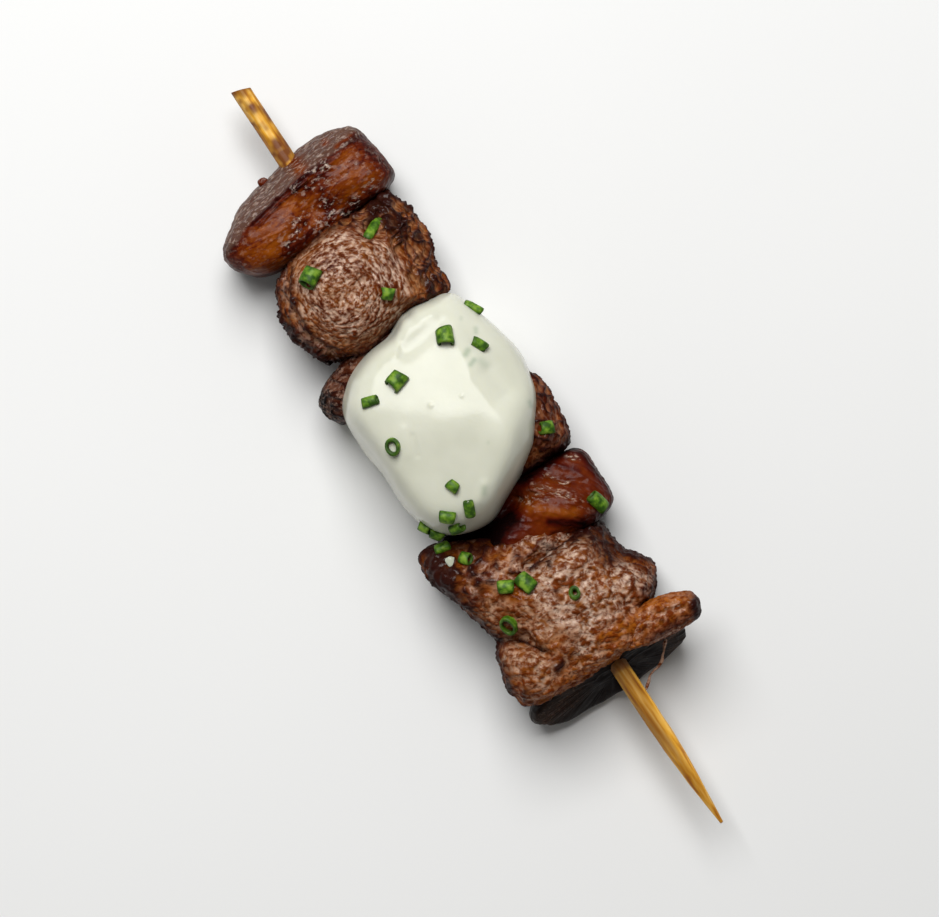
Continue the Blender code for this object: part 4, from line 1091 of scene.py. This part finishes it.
# for each piece below them: x, y, length, diameter, and the turn in degrees, or None of one on its end
CHIVES = [
    (fillet_1, [(-37.6, 5.0, 4.2, 1.6, -52), (-28.2, 1.6, 1.9, 1.9, 48),
                (-36.5, -6.7, 2.9, 2.8, -56)]),
    (fillet_2, [(2.0, 10.6, 2.2, 2.0, 65)]),
    (date_3, [(15.6, 10.8, 3.0, 2.3, 28)]),
    (fillet_3, [(19.9, -4.9, 2.7, 2.5, 15), (18.7, -7.8, 2.2, 2.1, 60),
                (23.9, -10.5, 1.3, 3.3, None), (25.3, 0.3, 1.7, 2.1, None),
                (11.9, -10.5, 1.8, 1.9, 40), (8.9, -12.7, 2.2, 2.0, 78)]),
    (dollop, [(-19.2, 11.2, 2.8, 1.6, 27), (-14.0, 8.8, 2.3, 1.7, 32),
              (-17.7, 5.2, 2.6, 2.7, -22), (-16.2, -4.5, 2.7, 2.7, -70),
              (-15.8, -9.5, 2.5, 1.6, 72), (-8.3, -10.3, 1.3, 2.8, None),
              (1.6, -6.0, 1.7, 1.7, 20), (5.6, -5.8, 2.5, 1.7, -25),
              (4.9, -9.2, 2.2, 2.1, 50), (7.0, -9.0, 2.1, 1.9, -60),
              (6.2, -12.0, 2.2, 2.0, 10), (4.4, -12.9, 2.0, 1.9, 75)]),
]


def chive_points(length, diameter, wall, seed):
    """A hollow snip along x, as a closed grid: out along the wall's outside and back inside it.

    The tube bows a little, and its section is an oval, so that height is 0.8 of width.
    """
    outer = diameter / 2
    inner = outer - wall
    along = np.linspace(-length / 2, length / 2, CHIVE_STEPS)
    rim = wall * 0.3
    x = np.concatenate([along, [length / 2 + rim * 0.4], along[::-1], [-length / 2 - rim * 0.4]])
    radius = np.concatenate([np.full(CHIVE_STEPS, outer), [(outer + inner) / 2],
                             np.full(CHIVE_STEPS, inner), [(outer + inner) / 2]])
    radius[[0, CHIVE_STEPS - 1]] -= rim * 0.5
    turn = np.linspace(0, 2 * math.pi, CHIVE_SIDES, endpoint=False)
    points = np.empty((len(x), CHIVE_SIDES, 3))
    points[..., 0] = x[:, None] + 0.16 * diameter * np.sin(turn + seed) * np.sign(x)[:, None] * 0.5
    points[..., 1] = radius[:, None] * np.cos(turn)
    points[..., 2] = radius[:, None] * np.sin(turn) * 0.8 - 0.25 * (x[:, None] / length) ** 2
    return points + 0.06 * lumps(points + seed * 7.1, 0.9, seed)[..., None]


def skin_below(piece, x, y):
    """The spot on the piece straight below x, y, and its outward direction there, in millimetres."""
    above = Vector((x * MM + AXIS[0], y * MM + AXIS[1], 0.2))
    hit, spot, _, _ = piece.ray_cast(above, Vector((0, 0, -1)))
    if not hit:
        raise ValueError(f"nothing of {piece.name} lies below {x}, {y}")
    slopes = []
    for dx, dy in ((0.7, 0.0), (0.0, 0.7)):
        ends = []
        for sign in (-1, 1):
            side = above + Vector((sign * dx * MM, sign * dy * MM, 0))
            found, end, _, _ = piece.ray_cast(side, Vector((0, 0, -1)))
            ends.append(end if found else spot)
        slopes.append(ends[1] - ends[0])
    outward = slopes[0].cross(slopes[1]).normalized()
    return (np.array(spot) - AXIS) / MM, np.array(outward)


def laid_chive(piece, place, seed):
    """A snip turned, tilted to the skin below it, and sunk a little into it."""
    x, y, length, diameter, turn = place
    stands = turn is None
    spot, outward = skin_below(piece, x, y)
    points = chive_points(length, diameter, STANDING_WALL if stands else CHIVE_WALL, seed)
    if stands:
        along = outward
        side = np.cross(along, (0.3, 1.0, 0.1))
    else:
        along = np.array([math.cos(math.radians(turn)), math.sin(math.radians(turn)), 0.0])
        along -= outward * (along @ outward)
        side = np.cross(outward, along)
    along /= np.linalg.norm(along)
    side /= np.linalg.norm(side)
    up = np.cross(along, side)
    lift = STANDING_LIFT * length * along if stands else LYING_LIFT * diameter * up
    return points @ np.stack([along, side, up]) + (spot + lift)


def chive_material():
    """Fresh chive: deep green outside with fine lengthwise lines.

    It is darker at the snipped ends, and painted shade darkens the inside of the hollow.
    """
    material, tree = new_material("chive", Roughness=0.48, Specular_IOR_Level=0.22, Subsurface_Weight=0.1,
                                  Subsurface_Radius=(0.3, 1.0, 0.1), Subsurface_Scale=0.0004)
    fresh = toned(tree, noise_over(tree, 900.0), [
        (0.38, (0.020, 0.062, 0.002)), (0.51, (0.070, 0.160, 0.006)), (0.64, (0.165, 0.275, 0.024))])
    link_shader(tree, Base_Color=marked(tree, fresh, "end_and_hollow_shade", (0.020, 0.055, 0.003)),
                Normal=bumped(tree, (noise_over(tree, 1500.0), 0.00008)))
    return material


bpy.context.view_layer.update()
snips = []
for piece, places in CHIVES:
    for place in places:
        snips.append(laid_chive(piece, place, len(snips) + 1))
snip_faces = grid_faces(2 * CHIVE_STEPS + 2, CHIVE_SIDES, True)
all_faces = np.concatenate([snip_faces + number * snips[0][..., 0].size for number in range(len(snips))])
# The end rows of the outside are darker at the snipped ends, and the inside of the hollow is darker still
# with painted shade.
end_and_hollow_rows = np.zeros((2 * CHIVE_STEPS + 2, CHIVE_SIDES))
end_and_hollow_rows[[0, CHIVE_STEPS - 1]] = 0.6
end_and_hollow_rows[CHIVE_STEPS:] = 0.8
add_piece("chive_snips", np.concatenate([snip.reshape(-1, 3) for snip in snips]), all_faces,
          chive_material(), {"end_and_hollow_shade": np.tile(end_and_hollow_rows.ravel(), len(snips))})

# The last scraps: a crumb of date at the blunt end, a drop of sauce on the last piece of meat,
# and one fine fibre of meat that lies over the last date and sticks to the skewer.

CRUMB = ((-53.5, -4.9, -0.6), (0.75, 0.85, 0.8))
DROP_SIZE = (1.15, 0.85, 0.5)
DROP_AT = (11.3, -12.6)
FIBRE = [(38.9, 8.3, 3.4), (39.6, 7.8, 2.2), (40.6, 7.0, 1.2), (41.5, 6.0, 0.7), (42.2, 4.5, 0.5),
         (42.8, 2.9, 0.7), (43.4, 1.9, 1.0), (44.2, 1.2, 1.2)]
FIBRE_RADIUS = 0.21


def bead_points(middle, radii, seed):
    """A small uneven ball with the given radii, as a grid from one end of x to the other."""
    along = np.linspace(0.02, math.pi - 0.02, 24)[:, None]
    turn = np.linspace(0, 2 * math.pi, 32, endpoint=False)[None, :]
    round_x = np.sin(along)
    ball = np.stack([np.cos(along) + 0 * turn, round_x * np.cos(turn), round_x * np.sin(turn)], axis=-1)
    ball *= (1 + 0.22 * lumps(ball, 0.9, seed))[..., None]
    return ball * radii + middle


def fibre_points(path, radius, sides):
    """A tube that narrows to almost nothing at both ends, round a line through the path's points."""
    path = np.array(path)
    share = np.linspace(0, len(path) - 1, 60)
    line = np.stack([np.interp(share, np.arange(len(path)), path[:, axis]) for axis in range(3)], axis=-1)
    line += 0.25 * np.stack([lumps(line, 1.8, seed) for seed in (921, 922, 923)], axis=-1)
    ahead = np.gradient(line, axis=0)
    side = np.cross(ahead, (0.0, 0.0, 1.0))
    side /= np.linalg.norm(side, axis=-1)[:, None]
    up = np.cross(side, ahead)
    up /= np.linalg.norm(up, axis=-1)[:, None]
    ends = np.clip(6 * np.sin(np.linspace(0.01, math.pi - 0.01, len(share))), 0, 1)
    thick = radius * ends * (1 + 0.3 * np.sin(share * 2.4))
    turn = np.linspace(0, 2 * math.pi, sides, endpoint=False)
    return line[:, None] + thick[:, None, None] * (
        np.cos(turn)[None, :, None] * side[:, None] + np.sin(turn)[None, :, None] * up[:, None])


def add_scrap(name, points, material, marks):
    """A small loose piece from an open grid of points."""
    return add_piece(name, points, grid_faces(*points.shape[:2], False), material, marks)


crumb_points = bead_points(*CRUMB, 931)
add_scrap("date_crumb", crumb_points, date_skin,
          {"tone": 0.45, "bloom_and_sheen": 0.0, "grain": crumb_points, "beaded": 0.2})
drop_spot, _ = skin_below(fillet_3, *DROP_AT)
drop_points = bead_points(drop_spot, DROP_SIZE, 932)
add_scrap("sauce_drop", drop_points, dollop.data.materials[0], {"herb": 0.35})
strand_points = fibre_points(FIBRE, FIBRE_RADIUS, 10)
add_scrap("meat_fibre", strand_points, beef,
          {"tone": 0.75, "pale": 0.6, "amber": 0.3, "char_and_shade": 0.0, "grain": strand_points})
